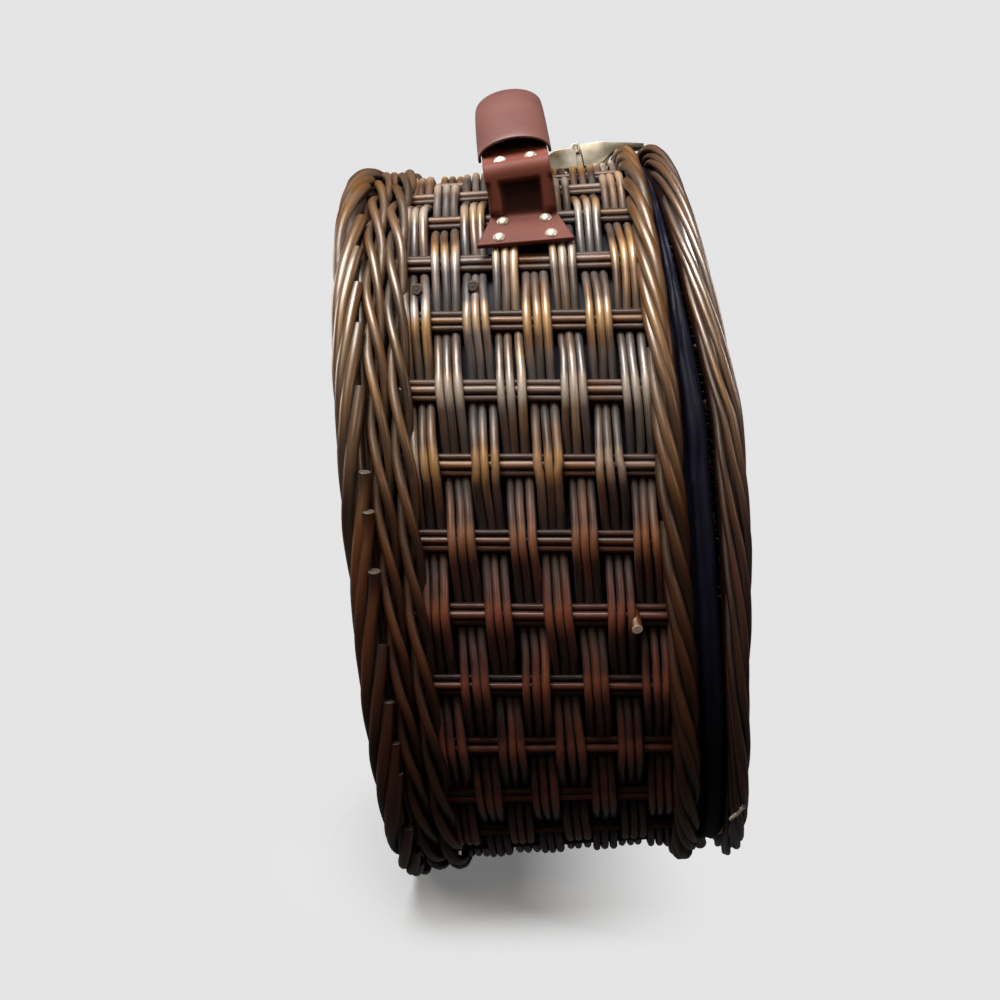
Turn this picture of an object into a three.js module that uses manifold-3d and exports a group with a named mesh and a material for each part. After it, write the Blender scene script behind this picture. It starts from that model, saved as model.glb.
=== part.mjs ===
// Wicker picnic basket: a rounded case of woven willow that stands on its flattened side, with a
// hinged lid in front, a riveted strap handle on top and a brass hasp over the mouth.
// Millimetres, +Z up. X is the width and Y the depth, with the lid at -Y. The origin lies on the
// floor under the middle of the basket.
import * as THREE from 'three';
import { mergeVertices } from 'three/addons/utils/BufferGeometryUtils.js';
import Module from 'manifold-3d';

const wasm = await Module();
wasm.setup();

// Side outline, a superellipse along the middle of the woven wall, cut flat where it stands
const outlineHalfWidth = 174;
const outlineHalfHeight = 167.5;
const outlinePower = 2.54;
const footHalfHeight = 164.5;
const outlineTraceSteps = 720;
const outlineStations = 60;

// Offsets from that outline, positive outwards
const ropeProud = 10.5;
const ropeInset = 4.5;
const waleProud = 8;
const wallProud = 3.4;
const wallInset = 8;
const seam = 0.3;

// Rings of the case from back to front: the space left behind each, its depth and its edge chamfer
const rings = [
  { name: 'back_border', space: 0, depth: 10.8, proud: ropeProud, inset: ropeInset, edge: 3.4 },
  { name: 'back_wale_outer', space: 0, depth: 9.3, proud: waleProud, inset: ropeInset, edge: 2.6 },
  { name: 'back_wale_inner', space: 0, depth: 9.3, proud: waleProud, inset: ropeInset, edge: 2.6 },
  { name: 'body_wall', space: 0, depth: 95.4, proud: wallProud, inset: wallInset, edge: 0 },
  { name: 'body_rim', space: 0, depth: 13.8, proud: ropeProud, inset: ropeInset, edge: 3.8 },
  { name: 'lid_border', space: 8.4, depth: 14.9, proud: ropeProud, inset: ropeInset, edge: 4.2 },
];
const totalDepth = rings.reduce((sum, ring) => sum + ring.space + ring.depth, -seam);
const centreHeight = footHalfHeight + ropeProud;

// The front as it stands: how far rim and lid are drawn in at the top, where the hasp holds them, and at the foot
const drawnIn = [
  { ring: 'body_rim', edge: 'back', top: 0, foot: 0 },
  { ring: 'body_rim', edge: 'front', top: 4, foot: 0 },
  { ring: 'lid_border', edge: 'back', top: 10.5, foot: 0 },
  { ring: 'lid_border', edge: 'front', top: 14.5, foot: 4.5 },
];
const drawnInFrom = 50;
const drawnInOver = 125;
const thinnedOver = 60;

// Panels and cloth
const panelThickness = 9;
const backPanelInset = 3.2;
const lidPanelInset = 2.6;
const panelClearance = 0.3;
const liningThickness = 2;
const hemProud = 2;
const hemClearance = 1.4;

// Handle: a channel grip on a circular arch, carried by a folded strap at each end
const handleShift = -2.9;
const handleLean = 0.075;
const gripHalfWidth = 15.9;
const gripRise = 10;
const gripWall = 1.3;
const gripSkirt = 1.5;
const gripArchRadius = 218;
const gripArchSpan = 240;
const gripBaseCrown = 201.1;
const gripTurnSteps = 120;
const gripSectionSteps = 12;
const strapThickness = 2.2;
const strapHalfWidth = 14.2;
const footHalfWidthTop = 18.2;
const footHalfWidthBottom = 20.6;
const footLength = 18;
const footHeight = 130;
const footClearance = 0.1;
const foldPoint = new THREE.Vector2(-130.5, 160);
const flangeEndX = -98;
const flangeLift = 1.5;

// Rivets
const rivetRadius = 2.7;
const rivetHeight = 1.9;
const rivetSides = 12;
const rivetGap = 0.25;
const rivetRows = [
  { place: 'foot', along: 0.21, spread: 11 },
  { place: 'foot', along: 0.8, spread: 9.1 },
  { place: 'flange', along: 0.17, spread: 6.6 },
];

// Hasp on top of the wall, its pin across X. Its side views are control points in Y and in height over the wall
const claspAxisY = -26.5;
const claspAxisRise = 10.2;
const claspHalfWidth = 8;
const claspKnuckleRadius = 2.4;
const claspTongueKnuckle = 8.4;
const claspPinRadius = 1;
const claspPinPlay = 0.25;
const claspKnuckleGap = 0.6;
const claspBlend = 0.2;
const claspReach = 20;
const claspSides = 16;
const claspBase = {
  back: -11,
  backRise: 3.6,
  shoulder: [[-11.5, 9.6], [-20, 10]],
};
const claspTongue = {
  top: [
    [[-31, 10.6], [-36, 13], [-44, 11.6]],
    [[-50, 10.8], [-55, 10.6], [-61, 9.4]],
  ],
  tipUnder: 7.6,
  under: [[-49.5, 7.9], [-42, 7.4], [-41, 0.8], [-36, 0.8]],
  heel: [-30.4, 0.8],
  throat: [-29.4, 8],
};

// Lid hinges, their pins across X in the groove between rim and lid
const hingeAxisHeight = 4.6;
const hingeRadius = 3.2;
const hingePinRadius = 1.3;
const hingePinPlay = 0.25;
const hingeLeafLength = 14;
const hingeLeafGap = 0.4;
const hingeOffset = 42;
const hingeLugHeight = 3.4;

const wicker = new THREE.MeshStandardMaterial({ color: 0x4a3220, roughness: 0.45 });
const ropeWicker = new THREE.MeshStandardMaterial({ color: 0x5c3d22, roughness: 0.45 });
const navyCloth = new THREE.MeshStandardMaterial({ color: 0x15182c, roughness: 0.85 });
const redLeather = new THREE.MeshStandardMaterial({ color: 0x7a3b2c, roughness: 0.4 });
const brass = new THREE.MeshStandardMaterial({ color: 0xc9ad78, roughness: 0.3, metalness: 1 });
const steel = new THREE.MeshStandardMaterial({ color: 0x8d8a86, roughness: 0.4, metalness: 1 });

// Solids and geometry, there and back
function solidOf(geometry) {
  const bare = geometry.clone();
  bare.deleteAttribute('normal');
  bare.deleteAttribute('uv');
  const merged = mergeVertices(bare, 1e-4);
  return new wasm.Manifold(new wasm.Mesh({
    numProp: 3,
    vertProperties: new Float32Array(merged.attributes.position.array),
    triVerts: new Uint32Array(merged.index.array),
  }));
}

function geometryOf(solid) {
  const mesh = solid.getMesh();
  const geometry = new THREE.BufferGeometry();
  geometry.setAttribute('position', new THREE.BufferAttribute(new Float32Array(mesh.vertProperties), 3));
  geometry.setIndex(new THREE.BufferAttribute(new Uint32Array(mesh.triVerts), 1));
  geometry.computeVertexNormals();
  return geometry;
}

function namedMesh(name, geometry, material) {
  const mesh = new THREE.Mesh(geometry, material);
  mesh.name = name;
  return mesh;
}

// The side outline from the middle of its foot round past +X, moved out along its normals
function outlinePoints(offset) {
  const trace = new THREE.Path();
  for (let step = 0; step <= outlineTraceSteps; step += 1) {
    const turn = (step / outlineTraceSteps) * 2 * Math.PI - Math.PI / 2;
    const across = Math.sign(Math.cos(turn)) * Math.abs(Math.cos(turn)) ** (2 / outlinePower);
    const upward = Math.sign(Math.sin(turn)) * Math.abs(Math.sin(turn)) ** (2 / outlinePower);
    const x = step % outlineTraceSteps === 0 ? 0 : outlineHalfWidth * across;
    const z = Math.max(outlineHalfHeight * upward, -footHalfHeight);
    if (step === 0) {
      trace.moveTo(x, z);
    } else {
      trace.lineTo(x, z);
    }
  }
  const stations = trace.getSpacedPoints(outlineStations).slice(0, outlineStations);
  return stations.map((station, i) => {
    const before = stations[(i + outlineStations - 1) % outlineStations];
    const after = stations[(i + 1) % outlineStations];
    const along = after.clone().sub(before).normalize();
    return new THREE.Vector2(station.x + along.y * offset, station.y - along.x * offset);
  });
}

// A shape drawn in X and Z, pushed forward from a given Y
function pushForward(shape, yBack, depth, edge = 0) {
  const geometry = new THREE.ExtrudeGeometry(shape, {
    depth: depth - 2 * edge,
    bevelEnabled: edge > 0,
    bevelThickness: edge,
    bevelSize: edge,
    bevelOffset: -edge,
    bevelSegments: 1,
  });
  geometry.rotateX(Math.PI / 2);
  geometry.translate(0, yBack - edge, 0);
  return geometry;
}

// A shape drawn in Y and Z, pushed sideways from a given X
function pushSideways(shape, xStart, width) {
  const geometry = new THREE.ExtrudeGeometry(shape, { depth: width, bevelEnabled: false });
  geometry.rotateX(Math.PI / 2);
  geometry.rotateZ(Math.PI / 2);
  geometry.translate(xStart, 0, 0);
  return geometry;
}

function plate(inset, yBack, depth) {
  return pushForward(new THREE.Shape(outlinePoints(-inset)), yBack, depth);
}

function ringGeometry(proud, inset, yBack, depth, edge) {
  const shape = new THREE.Shape(outlinePoints(proud));
  shape.holes.push(new THREE.Path(outlinePoints(-inset)));
  return pushForward(shape, yBack, depth, edge);
}

// Where each ring begins and ends in Y
const ringSpan = {};
let ringBack = totalDepth / 2;
for (const ring of rings) {
  const back = ringBack - ring.space;
  ringSpan[ring.name] = { back, front: back - ring.depth + seam };
  ringBack = back - ring.depth;
}
const weaveMiddleY = (ringSpan.body_wall.back + ringSpan.body_wall.front) / 2;
const mouthFront = ringSpan.body_rim.front;
const lidBack = ringSpan.lid_border.back;

// Draws a front piece in toward the back, by height
function drawIn(geometry) {
  const rows = drawnIn.map((row) => ({ ...row, y: ringSpan[row.ring][row.edge] }));
  const place = geometry.attributes.position;
  for (let i = 0; i < place.count; i += 1) {
    const y = place.getY(i);
    const after = rows.findIndex((row, k) => k > 0 && (row.y <= y || k === rows.length - 1));
    const [from, to] = [rows[after - 1], rows[after]];
    const share = THREE.MathUtils.clamp((from.y - y) / (from.y - to.y), 0, 1);
    const upper = THREE.MathUtils.clamp((place.getZ(i) - drawnInFrom) / drawnInOver, 0, 1);
    const lower = THREE.MathUtils.clamp(-place.getZ(i) / thinnedOver, 0, 1);
    const top = THREE.MathUtils.lerp(from.top, to.top, share);
    const foot = THREE.MathUtils.lerp(from.foot, to.foot, share);
    place.setY(i, y + upper * top + lower * foot);
  }
  return geometry;
}

function caseRings() {
  return rings.map((ring) => {
    const { back, front } = ringSpan[ring.name];
    const material = ring.name === 'body_wall' ? wicker : ropeWicker;
    const geometry = ringGeometry(ring.proud, ring.inset, back, back - front, ring.edge);
    return namedMesh(ring.name, drawIn(geometry), material);
  });
}

const backPanelFront = ringSpan.back_border.back - backPanelInset - panelThickness;

function casePanels() {
  const inset = ropeInset + panelClearance;
  const lidFront = ringSpan.lid_border.front + lidPanelInset;
  return [
    namedMesh('back_panel', plate(inset, backPanelFront + panelThickness, panelThickness), wicker),
    namedMesh('lid_panel', drawIn(plate(inset, lidFront + panelThickness, panelThickness)), wicker),
  ];
}

// A cloth cup inside the case, with a hem that fills the gap between rim and lid
function lining() {
  const outside = wallInset + panelClearance;
  const inside = outside + liningThickness;
  const floorBack = backPanelFront - seam;
  const hemFront = lidBack + hemClearance;
  const cup = solidOf(plate(outside, floorBack, floorBack - hemFront));
  const pocketFront = hemFront - liningThickness;
  const pocketBack = floorBack - liningThickness;
  const pocket = solidOf(plate(inside, pocketBack, pocketBack - pocketFront));
  const hemBack = mouthFront - hemClearance;
  const hem = solidOf(ringGeometry(hemProud, inside, hemBack, hemBack - hemFront, 0));
  return namedMesh('lining', drawIn(geometryOf(cup.subtract(pocket).add(hem))), navyCloth);
}

// Channel section of the grip as rings of radius and width about the arch's middle
function gripProfile() {
  const profile = [];
  const sides = [
    { halfWidth: gripHalfWidth, rise: gripRise, sign: 1 },
    { halfWidth: gripHalfWidth - gripWall, rise: gripRise - gripWall, sign: -1 },
  ];
  for (const side of sides) {
    profile.push(new THREE.Vector2(gripArchRadius, -side.sign * side.halfWidth));
    for (let step = 0; step <= gripSectionSteps; step += 1) {
      const turn = (step / gripSectionSteps) * Math.PI;
      const radius = gripArchRadius + gripSkirt + (side.rise - gripSkirt) * Math.sin(turn);
      profile.push(new THREE.Vector2(radius, -side.sign * side.halfWidth * Math.cos(turn)));
    }
    profile.push(new THREE.Vector2(gripArchRadius, side.sign * side.halfWidth));
  }
  profile.push(profile[0].clone());
  return profile;
}

function handleGrip() {
  const hoop = solidOf(new THREE.LatheGeometry(gripProfile(), gripTurnSteps));
  const reach = gripArchRadius + 2 * gripRise;
  const endTurn = Math.asin(gripArchSpan / 2 / gripArchRadius);
  const wedge = new THREE.Shape();
  wedge.moveTo(0, 0);
  wedge.lineTo(Math.tan(endTurn) * reach, reach);
  wedge.lineTo(-Math.tan(endTurn) * reach, reach);
  wedge.closePath();
  const sector = solidOf(pushForward(wedge, 2 * gripHalfWidth, 4 * gripHalfWidth));
  const grip = geometryOf(hoop.intersect(sector)).translate(0, 0, gripBaseCrown - gripArchRadius);
  return namedMesh('handle_grip', leanBack(grip), redLeather);
}

// Where the strap's foot sits on the wall: its middle, the wall's normal and the way up the wall
function footSeat() {
  const rise = footHeight / outlineHalfHeight;
  const across = (1 - rise ** outlinePower) ** (1 / outlinePower);
  const normal = new THREE.Vector2(
    -(across ** (outlinePower - 1)) / outlineHalfWidth,
    rise ** (outlinePower - 1) / outlineHalfHeight,
  ).normalize();
  const middle = new THREE.Vector2(-outlineHalfWidth * across, footHeight);
  middle.addScaledVector(normal, wallProud + footClearance + strapThickness / 2);
  return { middle, normal, up: new THREE.Vector2(normal.y, -normal.x) };
}

// The strap's middle line in X and Z: foot, riser, and flange along the grip
function strapLine() {
  const seat = footSeat();
  const archMiddle = gripBaseCrown - gripArchRadius;
  const flangeZ = archMiddle + Math.sqrt((gripArchRadius + flangeLift) ** 2 - flangeEndX ** 2);
  return [
    seat.middle.clone().addScaledVector(seat.up, -footLength / 2),
    seat.middle.clone().addScaledVector(seat.up, footLength / 2),
    foldPoint.clone(),
    new THREE.Vector2(flangeEndX, flangeZ),
  ];
}

// A strip of even thickness along a bent line, with mitred bends
function stripShape(line, thickness) {
  const near = [];
  const far = [];
  line.forEach((point, i) => {
    const into = line[Math.max(i, 1)].clone().sub(line[Math.max(i, 1) - 1]).normalize();
    const next = Math.min(i + 1, line.length - 1);
    const out = line[next].clone().sub(line[next - 1]).normalize();
    const miter = new THREE.Vector2(-into.y - out.y, into.x + out.x).normalize();
    const reach = thickness / 2 / (miter.x * -into.y + miter.y * into.x);
    near.push(point.clone().addScaledVector(miter, reach));
    far.unshift(point.clone().addScaledVector(miter, -reach));
  });
  return new THREE.Shape([...near, ...far]);
}

// The strap's outline from the front: a foot that flares, then an even riser and flange
function strapFront(line) {
  const outline = [
    [footHalfWidthBottom, line[0].y - strapThickness],
    [footHalfWidthTop, line[0].y + footLength / 4],
    [strapHalfWidth, line[1].y],
    [strapHalfWidth, line[3].y + strapThickness],
  ];
  const right = outline.map(([halfWidth, z]) => new THREE.Vector2(halfWidth, z));
  const left = outline.map(([halfWidth, z]) => new THREE.Vector2(-halfWidth, z)).reverse();
  return new THREE.Shape([...right, ...left]);
}

function strapGeometry(line) {
  const wide = footHalfWidthBottom;
  const strip = solidOf(pushForward(stripShape(line, strapThickness), wide, 2 * wide));
  const front = solidOf(pushSideways(strapFront(line), 2 * line[0].x, -line[0].x * 2));
  return geometryOf(strip.intersect(front));
}

function rivetGeometry() {
  const profile = [
    new THREE.Vector2(0, 0),
    new THREE.Vector2(rivetRadius, 0),
    new THREE.Vector2(rivetRadius * 0.94, rivetHeight * 0.35),
    new THREE.Vector2(rivetRadius * 0.62, rivetHeight * 0.82),
    new THREE.Vector2(0, rivetHeight),
  ];
  return new THREE.LatheGeometry(profile, rivetSides);
}

// Leans a piece of the handle back, from nothing at the straps' feet to the full angle at their folds
function leanBack(geometry) {
  const footTop = strapLine()[1].y;
  const place = geometry.attributes.position;
  for (let i = 0; i < place.count; i += 1) {
    const y = place.getY(i);
    const rise = place.getZ(i) - footTop;
    const turn = handleLean * THREE.MathUtils.smoothstep(rise, 0, foldPoint.y - footTop);
    place.setY(i, y * Math.cos(turn) + rise * Math.sin(turn));
    place.setZ(i, footTop + rise * Math.cos(turn) - y * Math.sin(turn));
  }
  return geometry;
}

// One end of the handle: its strap and rivets, drawn for the -X end and turned about Z
function handleEnd(side, turn) {
  const line = strapLine();
  const runs = { foot: [line[0], line[1]], flange: [line[2], line[3]] };
  const rivets = [];
  for (const row of rivetRows) {
    const [from, to] = runs[row.place];
    const along = to.clone().sub(from).normalize();
    const normal = new THREE.Vector3(-along.y, 0, along.x);
    const place = from.clone().lerp(to, row.along);
    for (const spread of [-row.spread, row.spread]) {
      const seat = new THREE.Vector3(place.x, spread, place.y);
      seat.addScaledVector(normal, strapThickness / 2 + rivetGap);
      const rivet = rivetGeometry();
      rivet.applyQuaternion(new THREE.Quaternion().setFromUnitVectors(new THREE.Vector3(0, 1, 0), normal));
      rivets.push(rivet.translate(seat.x, seat.y, seat.z));
    }
  }
  const turned = (geometry) => leanBack(geometry.rotateZ(turn));
  return [
    namedMesh(`handle_strap_${side}`, turned(strapGeometry(line)), redLeather),
    ...rivets.map((rivet, i) => namedMesh(`handle_rivet_${side}_${i + 1}`, turned(rivet), brass)),
  ];
}

function handle() {
  const group = new THREE.Group();
  group.position.y = weaveMiddleY + handleShift;
  group.add(handleGrip(), ...handleEnd('left', 0), ...handleEnd('right', Math.PI));
  return group;
}

// A round bar along X about a given middle line
function barAlongX(radius, xStart, xEnd, y, z, sides) {
  const bar = new THREE.CylinderGeometry(radius, radius, xEnd - xStart, sides);
  bar.rotateZ(Math.PI / 2);
  bar.translate((xStart + xEnd) / 2, y, z);
  return bar;
}

function boxBetween(low, high) {
  const size = new THREE.Vector3().subVectors(high, low);
  const box = new THREE.BoxGeometry(size.x, size.y, size.z);
  box.translate((low.x + high.x) / 2, (low.y + high.y) / 2, (low.z + high.z) / 2);
  return box;
}

const wallTop = outlineHalfHeight + wallProud;
const claspAxisHeight = wallTop + claspAxisRise;

// Side view of the hasp's seat, from the wall up to its knuckles
function claspBaseSide() {
  const side = new THREE.Shape();
  side.moveTo(claspBase.back, wallTop + seam);
  side.lineTo(claspBase.back, wallTop + claspBase.backRise);
  side.quadraticCurveTo(...claspBase.shoulder.flatMap(([y, rise]) => [y, wallTop + rise]));
  side.lineTo(claspAxisY, claspAxisHeight);
  side.lineTo(claspAxisY, wallTop + seam);
  side.closePath();
  return side;
}

// Side view of the tongue: thick behind the rim, thin over the rim and the lid's edge
function claspTongueSide() {
  const at = ([y, rise]) => [y, wallTop + rise];
  const tipY = claspTongue.top[1][2][0];
  const side = new THREE.Shape();
  side.moveTo(claspAxisY, claspAxisHeight + claspKnuckleRadius - claspBlend);
  for (const curve of claspTongue.top) {
    side.bezierCurveTo(...curve.flatMap(at));
  }
  side.lineTo(tipY, wallTop + claspTongue.tipUnder);
  side.lineTo(...at(claspTongue.under[0]));
  side.bezierCurveTo(...claspTongue.under.slice(1).flatMap(at));
  side.lineTo(...at(claspTongue.heel));
  side.lineTo(...at(claspTongue.throat));
  side.lineTo(claspAxisY, claspAxisHeight - claspKnuckleRadius + claspBlend);
  side.closePath();
  return side;
}

// A box about the pin, for cutting knuckles free: reaches in X, behind and before the pin in Y, and below it
function claspSpace(halfWidth, before, behind, below) {
  return solidOf(boxBetween(
    new THREE.Vector3(-halfWidth, claspAxisY - before, claspAxisHeight - below),
    new THREE.Vector3(halfWidth, claspAxisY + behind, claspAxisHeight + claspReach),
  ));
}

function clasp() {
  const group = new THREE.Group();
  const bar = (radius, halfLength) => solidOf(
    barAlongX(radius, -halfLength, halfLength, claspAxisY, claspAxisHeight, claspSides),
  );
  const around = claspKnuckleRadius + claspKnuckleGap;
  const hole = bar(claspPinRadius + claspPinPlay, 2 * claspHalfWidth);
  const slot = claspSpace(claspTongueKnuckle / 2 + seam, claspReach, around, around);
  const seat = solidOf(pushSideways(claspBaseSide(), -claspHalfWidth, 2 * claspHalfWidth));
  const base = seat.add(bar(claspKnuckleRadius, claspHalfWidth)).subtract(slot).subtract(hole);
  const seatSpace = claspSpace(2 * claspHalfWidth, around, claspReach, claspReach);
  const arm = solidOf(pushSideways(claspTongueSide(), -claspHalfWidth, 2 * claspHalfWidth));
  const neck = solidOf(pushSideways(claspTongueSide(), -claspTongueKnuckle / 2, claspTongueKnuckle));
  const knuckle = bar(claspKnuckleRadius, claspTongueKnuckle / 2);
  const tongue = arm.subtract(seatSpace).add(neck).add(knuckle).subtract(hole);
  group.add(namedMesh('clasp_base', geometryOf(base), brass));
  group.add(namedMesh('clasp_tongue', geometryOf(tongue), brass));
  group.add(namedMesh('clasp_pin', geometryOf(bar(claspPinRadius, claspHalfWidth)), brass));
  return group;
}

// One hinge leaf: a knuckle on the pin with a lug that reaches the rope it is fixed to
function hingeLeaf(name, xStart, ropeY) {
  const axisY = (mouthFront + lidBack) / 2;
  const xEnd = xStart + hingeLeafLength;
  const bar = (radius, over) => solidOf(
    barAlongX(radius, xStart - over, xEnd + over, axisY, hingeAxisHeight, claspSides),
  );
  const lug = solidOf(boxBetween(
    new THREE.Vector3(xStart, Math.min(axisY, ropeY), hingeAxisHeight - hingeLugHeight / 2),
    new THREE.Vector3(xEnd, Math.max(axisY, ropeY), hingeAxisHeight + hingeLugHeight / 2),
  ));
  const leaf = bar(hingeRadius, 0).add(lug).subtract(bar(hingePinRadius + hingePinPlay, 1));
  return namedMesh(name, geometryOf(leaf), steel);
}

function lidHinge(side, middleX) {
  const axisY = (mouthFront + lidBack) / 2;
  const reach = hingeLeafLength + hingeLeafGap / 2;
  const pin = barAlongX(hingePinRadius, middleX - reach, middleX + reach, axisY, hingeAxisHeight, claspSides);
  return [
    hingeLeaf(`hinge_leaf_body_${side}`, middleX - reach, mouthFront - seam),
    hingeLeaf(`hinge_leaf_lid_${side}`, middleX + hingeLeafGap / 2, lidBack + seam),
    namedMesh(`hinge_pin_${side}`, pin, steel),
  ];
}

const basket = new THREE.Group();
const raised = new THREE.Group();
raised.position.z = centreHeight;
raised.add(...caseRings(), ...casePanels(), lining(), handle(), clasp());
basket.add(raised);
basket.add(...lidHinge('left', -hingeOffset), ...lidHinge('right', hingeOffset));

export default basket;
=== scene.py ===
import bmesh
import bpy
import math
import random
from mathutils import Matrix, Vector, noise


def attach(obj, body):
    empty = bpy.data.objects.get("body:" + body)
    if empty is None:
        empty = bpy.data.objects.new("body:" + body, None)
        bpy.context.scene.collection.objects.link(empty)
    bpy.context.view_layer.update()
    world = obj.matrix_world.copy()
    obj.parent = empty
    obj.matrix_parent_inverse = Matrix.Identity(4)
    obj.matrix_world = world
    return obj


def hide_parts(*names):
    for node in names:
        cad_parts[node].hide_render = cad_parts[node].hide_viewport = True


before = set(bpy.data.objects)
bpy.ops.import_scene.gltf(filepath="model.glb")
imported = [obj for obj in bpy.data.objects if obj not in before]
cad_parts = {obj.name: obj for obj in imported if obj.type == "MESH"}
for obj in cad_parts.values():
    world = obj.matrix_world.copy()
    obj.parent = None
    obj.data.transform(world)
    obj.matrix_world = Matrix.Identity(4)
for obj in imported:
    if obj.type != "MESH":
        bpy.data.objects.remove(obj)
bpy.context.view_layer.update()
dice = random.Random(27)
scene = bpy.context.scene

# the case seen from its lid: a superellipse, flattened where it stands
shape = {
    "halfWidth": 0.174,      # to the middle of the borders' inner part
    "halfHeight": 0.1675,
    "power": 2.54,
    "footDepth": 0.1645,
    "centreHeight": 0.175,
    "outlineSteps": 1440,
    "smoothing": 10,         # steps either way for the outward direction
    "stakes": 36,
    "firstStake": 0.037,     # a stake's place, up the wall from the middle of the -X end
    "rack": 0.08,            # how far the stakes slope down toward the lid, per metre across
}

# the hasp draws rim and lid in toward the top, and the lid's border thins below
drawnIn = {
    "rows": [   # Y, inward at the top, inward at the foot
        (-0.0440, 0.0, 0.0),
        (-0.0575, 0.0040, 0.0),
        (-0.0662, 0.0128, 0.0),
        (-0.0808, 0.0147, 0.0045),
    ],
    "from": 0.050,           # above the middle
    "over": 0.125,
    "thinnedOver": 0.060,
}


# nodes: a Flow is a node's output that adds and multiplies like a number

class Flow:
    def __init__(self, socket):
        self.socket = socket
        self.tree = socket.id_data

    def __add__(self, other):
        return calc("ADD", self, other)

    def __sub__(self, other):
        return calc("SUBTRACT", self, other)

    def __rsub__(self, other):
        return calc("SUBTRACT", other, self)

    def __mul__(self, other):
        return calc("MULTIPLY", self, other)

    def __truediv__(self, other):
        return calc("DIVIDE", self, other)


def feed(inputs, values):
    for key, value in values.items():
        if isinstance(value, Flow):
            value.tree.links.new(value.socket, inputs[key])
        else:
            inputs[key].default_value = value


def addNode(tree, kind, values=None, **settings):
    node = tree.nodes.new(kind)
    for key, value in settings.items():
        setattr(node, key, value)
    feed(node.inputs, values or {})
    return node


def flow(tree, kind, values=None, output=0, **settings):
    return Flow(addNode(tree, kind, values, **settings).outputs[output])


def calc(operation, *values):
    tree = next(value.tree for value in values if isinstance(value, Flow))
    return flow(tree, "ShaderNodeMath", dict(enumerate(values)), operation=operation)


def calcVector(operation, *values, output=0):
    return flow(values[0].tree, "ShaderNodeVectorMath", dict(enumerate(values)), output, operation=operation)


def scaled(vector, size):
    return flow(vector.tree, "ShaderNodeVectorMath", {0: vector, "Scale": size}, operation="SCALE")


def vectorOf(tree, x, y, z):
    return flow(tree, "ShaderNodeCombineXYZ", {"X": x, "Y": y, "Z": z})


def axisOf(vector, axis):
    return flow(vector.tree, "ShaderNodeSeparateXYZ", {0: vector}, axis)


def ramp(value, low, high, least=0.0, kind="SMOOTHSTEP"):
    return flow(value.tree, "ShaderNodeMapRange", {
        "Value": value, "From Min": low, "From Max": high, "To Min": least}, interpolation_type=kind)


def cloudOf(vector, scale, detail, roughness=0.5):
    return flow(vector.tree, "ShaderNodeTexNoise", {
        "Vector": vector, "Scale": scale, "Detail": detail, "Roughness": roughness}, "Fac")


def mixColor(factor, under, over, blend="MIX"):
    return flow(factor.tree, "ShaderNodeMix", {"Factor": factor, 6: under, 7: over}, 2,
                data_type="RGBA", blend_type=blend)


def attributeOf(tree, name, output="Fac"):
    return flow(tree, "ShaderNodeAttribute", None, output, attribute_name=name)


def objectSpot(tree):
    return flow(tree, "ShaderNodeTexCoord", output="Object")


def bumpOf(height, strength, depth):
    return flow(height.tree, "ShaderNodeBump", {"Strength": strength, "Distance": depth, "Height": height})


def placeGroup(tree, group, values):  # gives its outputs by name
    node = addNode(tree, "ShaderNodeGroup", values, node_tree=group)
    return {socket.name: Flow(socket) for socket in node.outputs}


def newTree(kind, name, inputs, outputs):  # an input is named with its kind, or with its first value
    tree = bpy.data.node_groups.new(name, kind + "NodeTree")
    for label, value in inputs.items():
        socketKind = {int: "Int", float: "Float"}.get(type(value), value)
        socket = tree.interface.new_socket(label, in_out="INPUT", socket_type="NodeSocket" + socketKind)
        if socketKind != value:
            socket.default_value = value
    for label, socketKind in outputs.items():
        tree.interface.new_socket(label, in_out="OUTPUT", socket_type="NodeSocket" + socketKind)
    given = {socket.name: Flow(socket) for socket in tree.nodes.new("NodeGroupInput").outputs if socket.name}
    return tree, given, tree.nodes.new("NodeGroupOutput").inputs


def newMaterial(name):
    material = bpy.data.materials.new(name)
    material.use_nodes = True
    tree = material.node_tree
    return material, tree, tree.nodes["Principled BSDF"].inputs


# meshes and objects

def clamp(value):
    return min(max(value, 0.0), 1.0)


def smooth(low, high, value):
    share = clamp((value - low) / (high - low))
    return share * share * (3 - 2 * share)


def addObject(name, data):
    thing = bpy.data.objects.new(name, data)
    scene.collection.objects.link(thing)
    return thing


def setAttribute(mesh, name, values):
    single = isinstance(values[0], float)
    layer = mesh.attributes.new(name, "FLOAT" if single else "FLOAT_VECTOR", "POINT")
    if single:
        layer.data.foreach_set("value", values)
    else:
        layer.data.foreach_set("vector", [part for value in values for part in value])


def newMesh(name, spots, edges=(), faces=(), **attributes):
    mesh = bpy.data.meshes.new(name)
    mesh.from_pydata(spots, edges, faces)
    for label, values in attributes.items():
        setAttribute(mesh, label, values)
    return mesh


def gridFaces(rows, count, closed):
    faces = []
    for row in range(rows - 1):
        for i in range(count if closed else count - 1):
            j = (i + 1) % count
            faces.append((row * count + i, row * count + j, (row + 1) * count + j, (row + 1) * count + i))
    return faces


def fanFaces(first, count, tip):
    return [(first + i, first + (i + 1) % count, tip) for i in range(count)]


def ringSpots(rings, sides):
    turns = [math.tau * i / sides for i in range(sides)]
    return [(radius * math.cos(turn), radius * math.sin(turn), rise)
            for radius, rise in rings for turn in turns]


def faceOutward(mesh):
    work = bmesh.new()
    work.from_mesh(mesh)
    bmesh.ops.recalc_face_normals(work, faces=work.faces)
    work.to_mesh(mesh)
    work.free()


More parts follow.
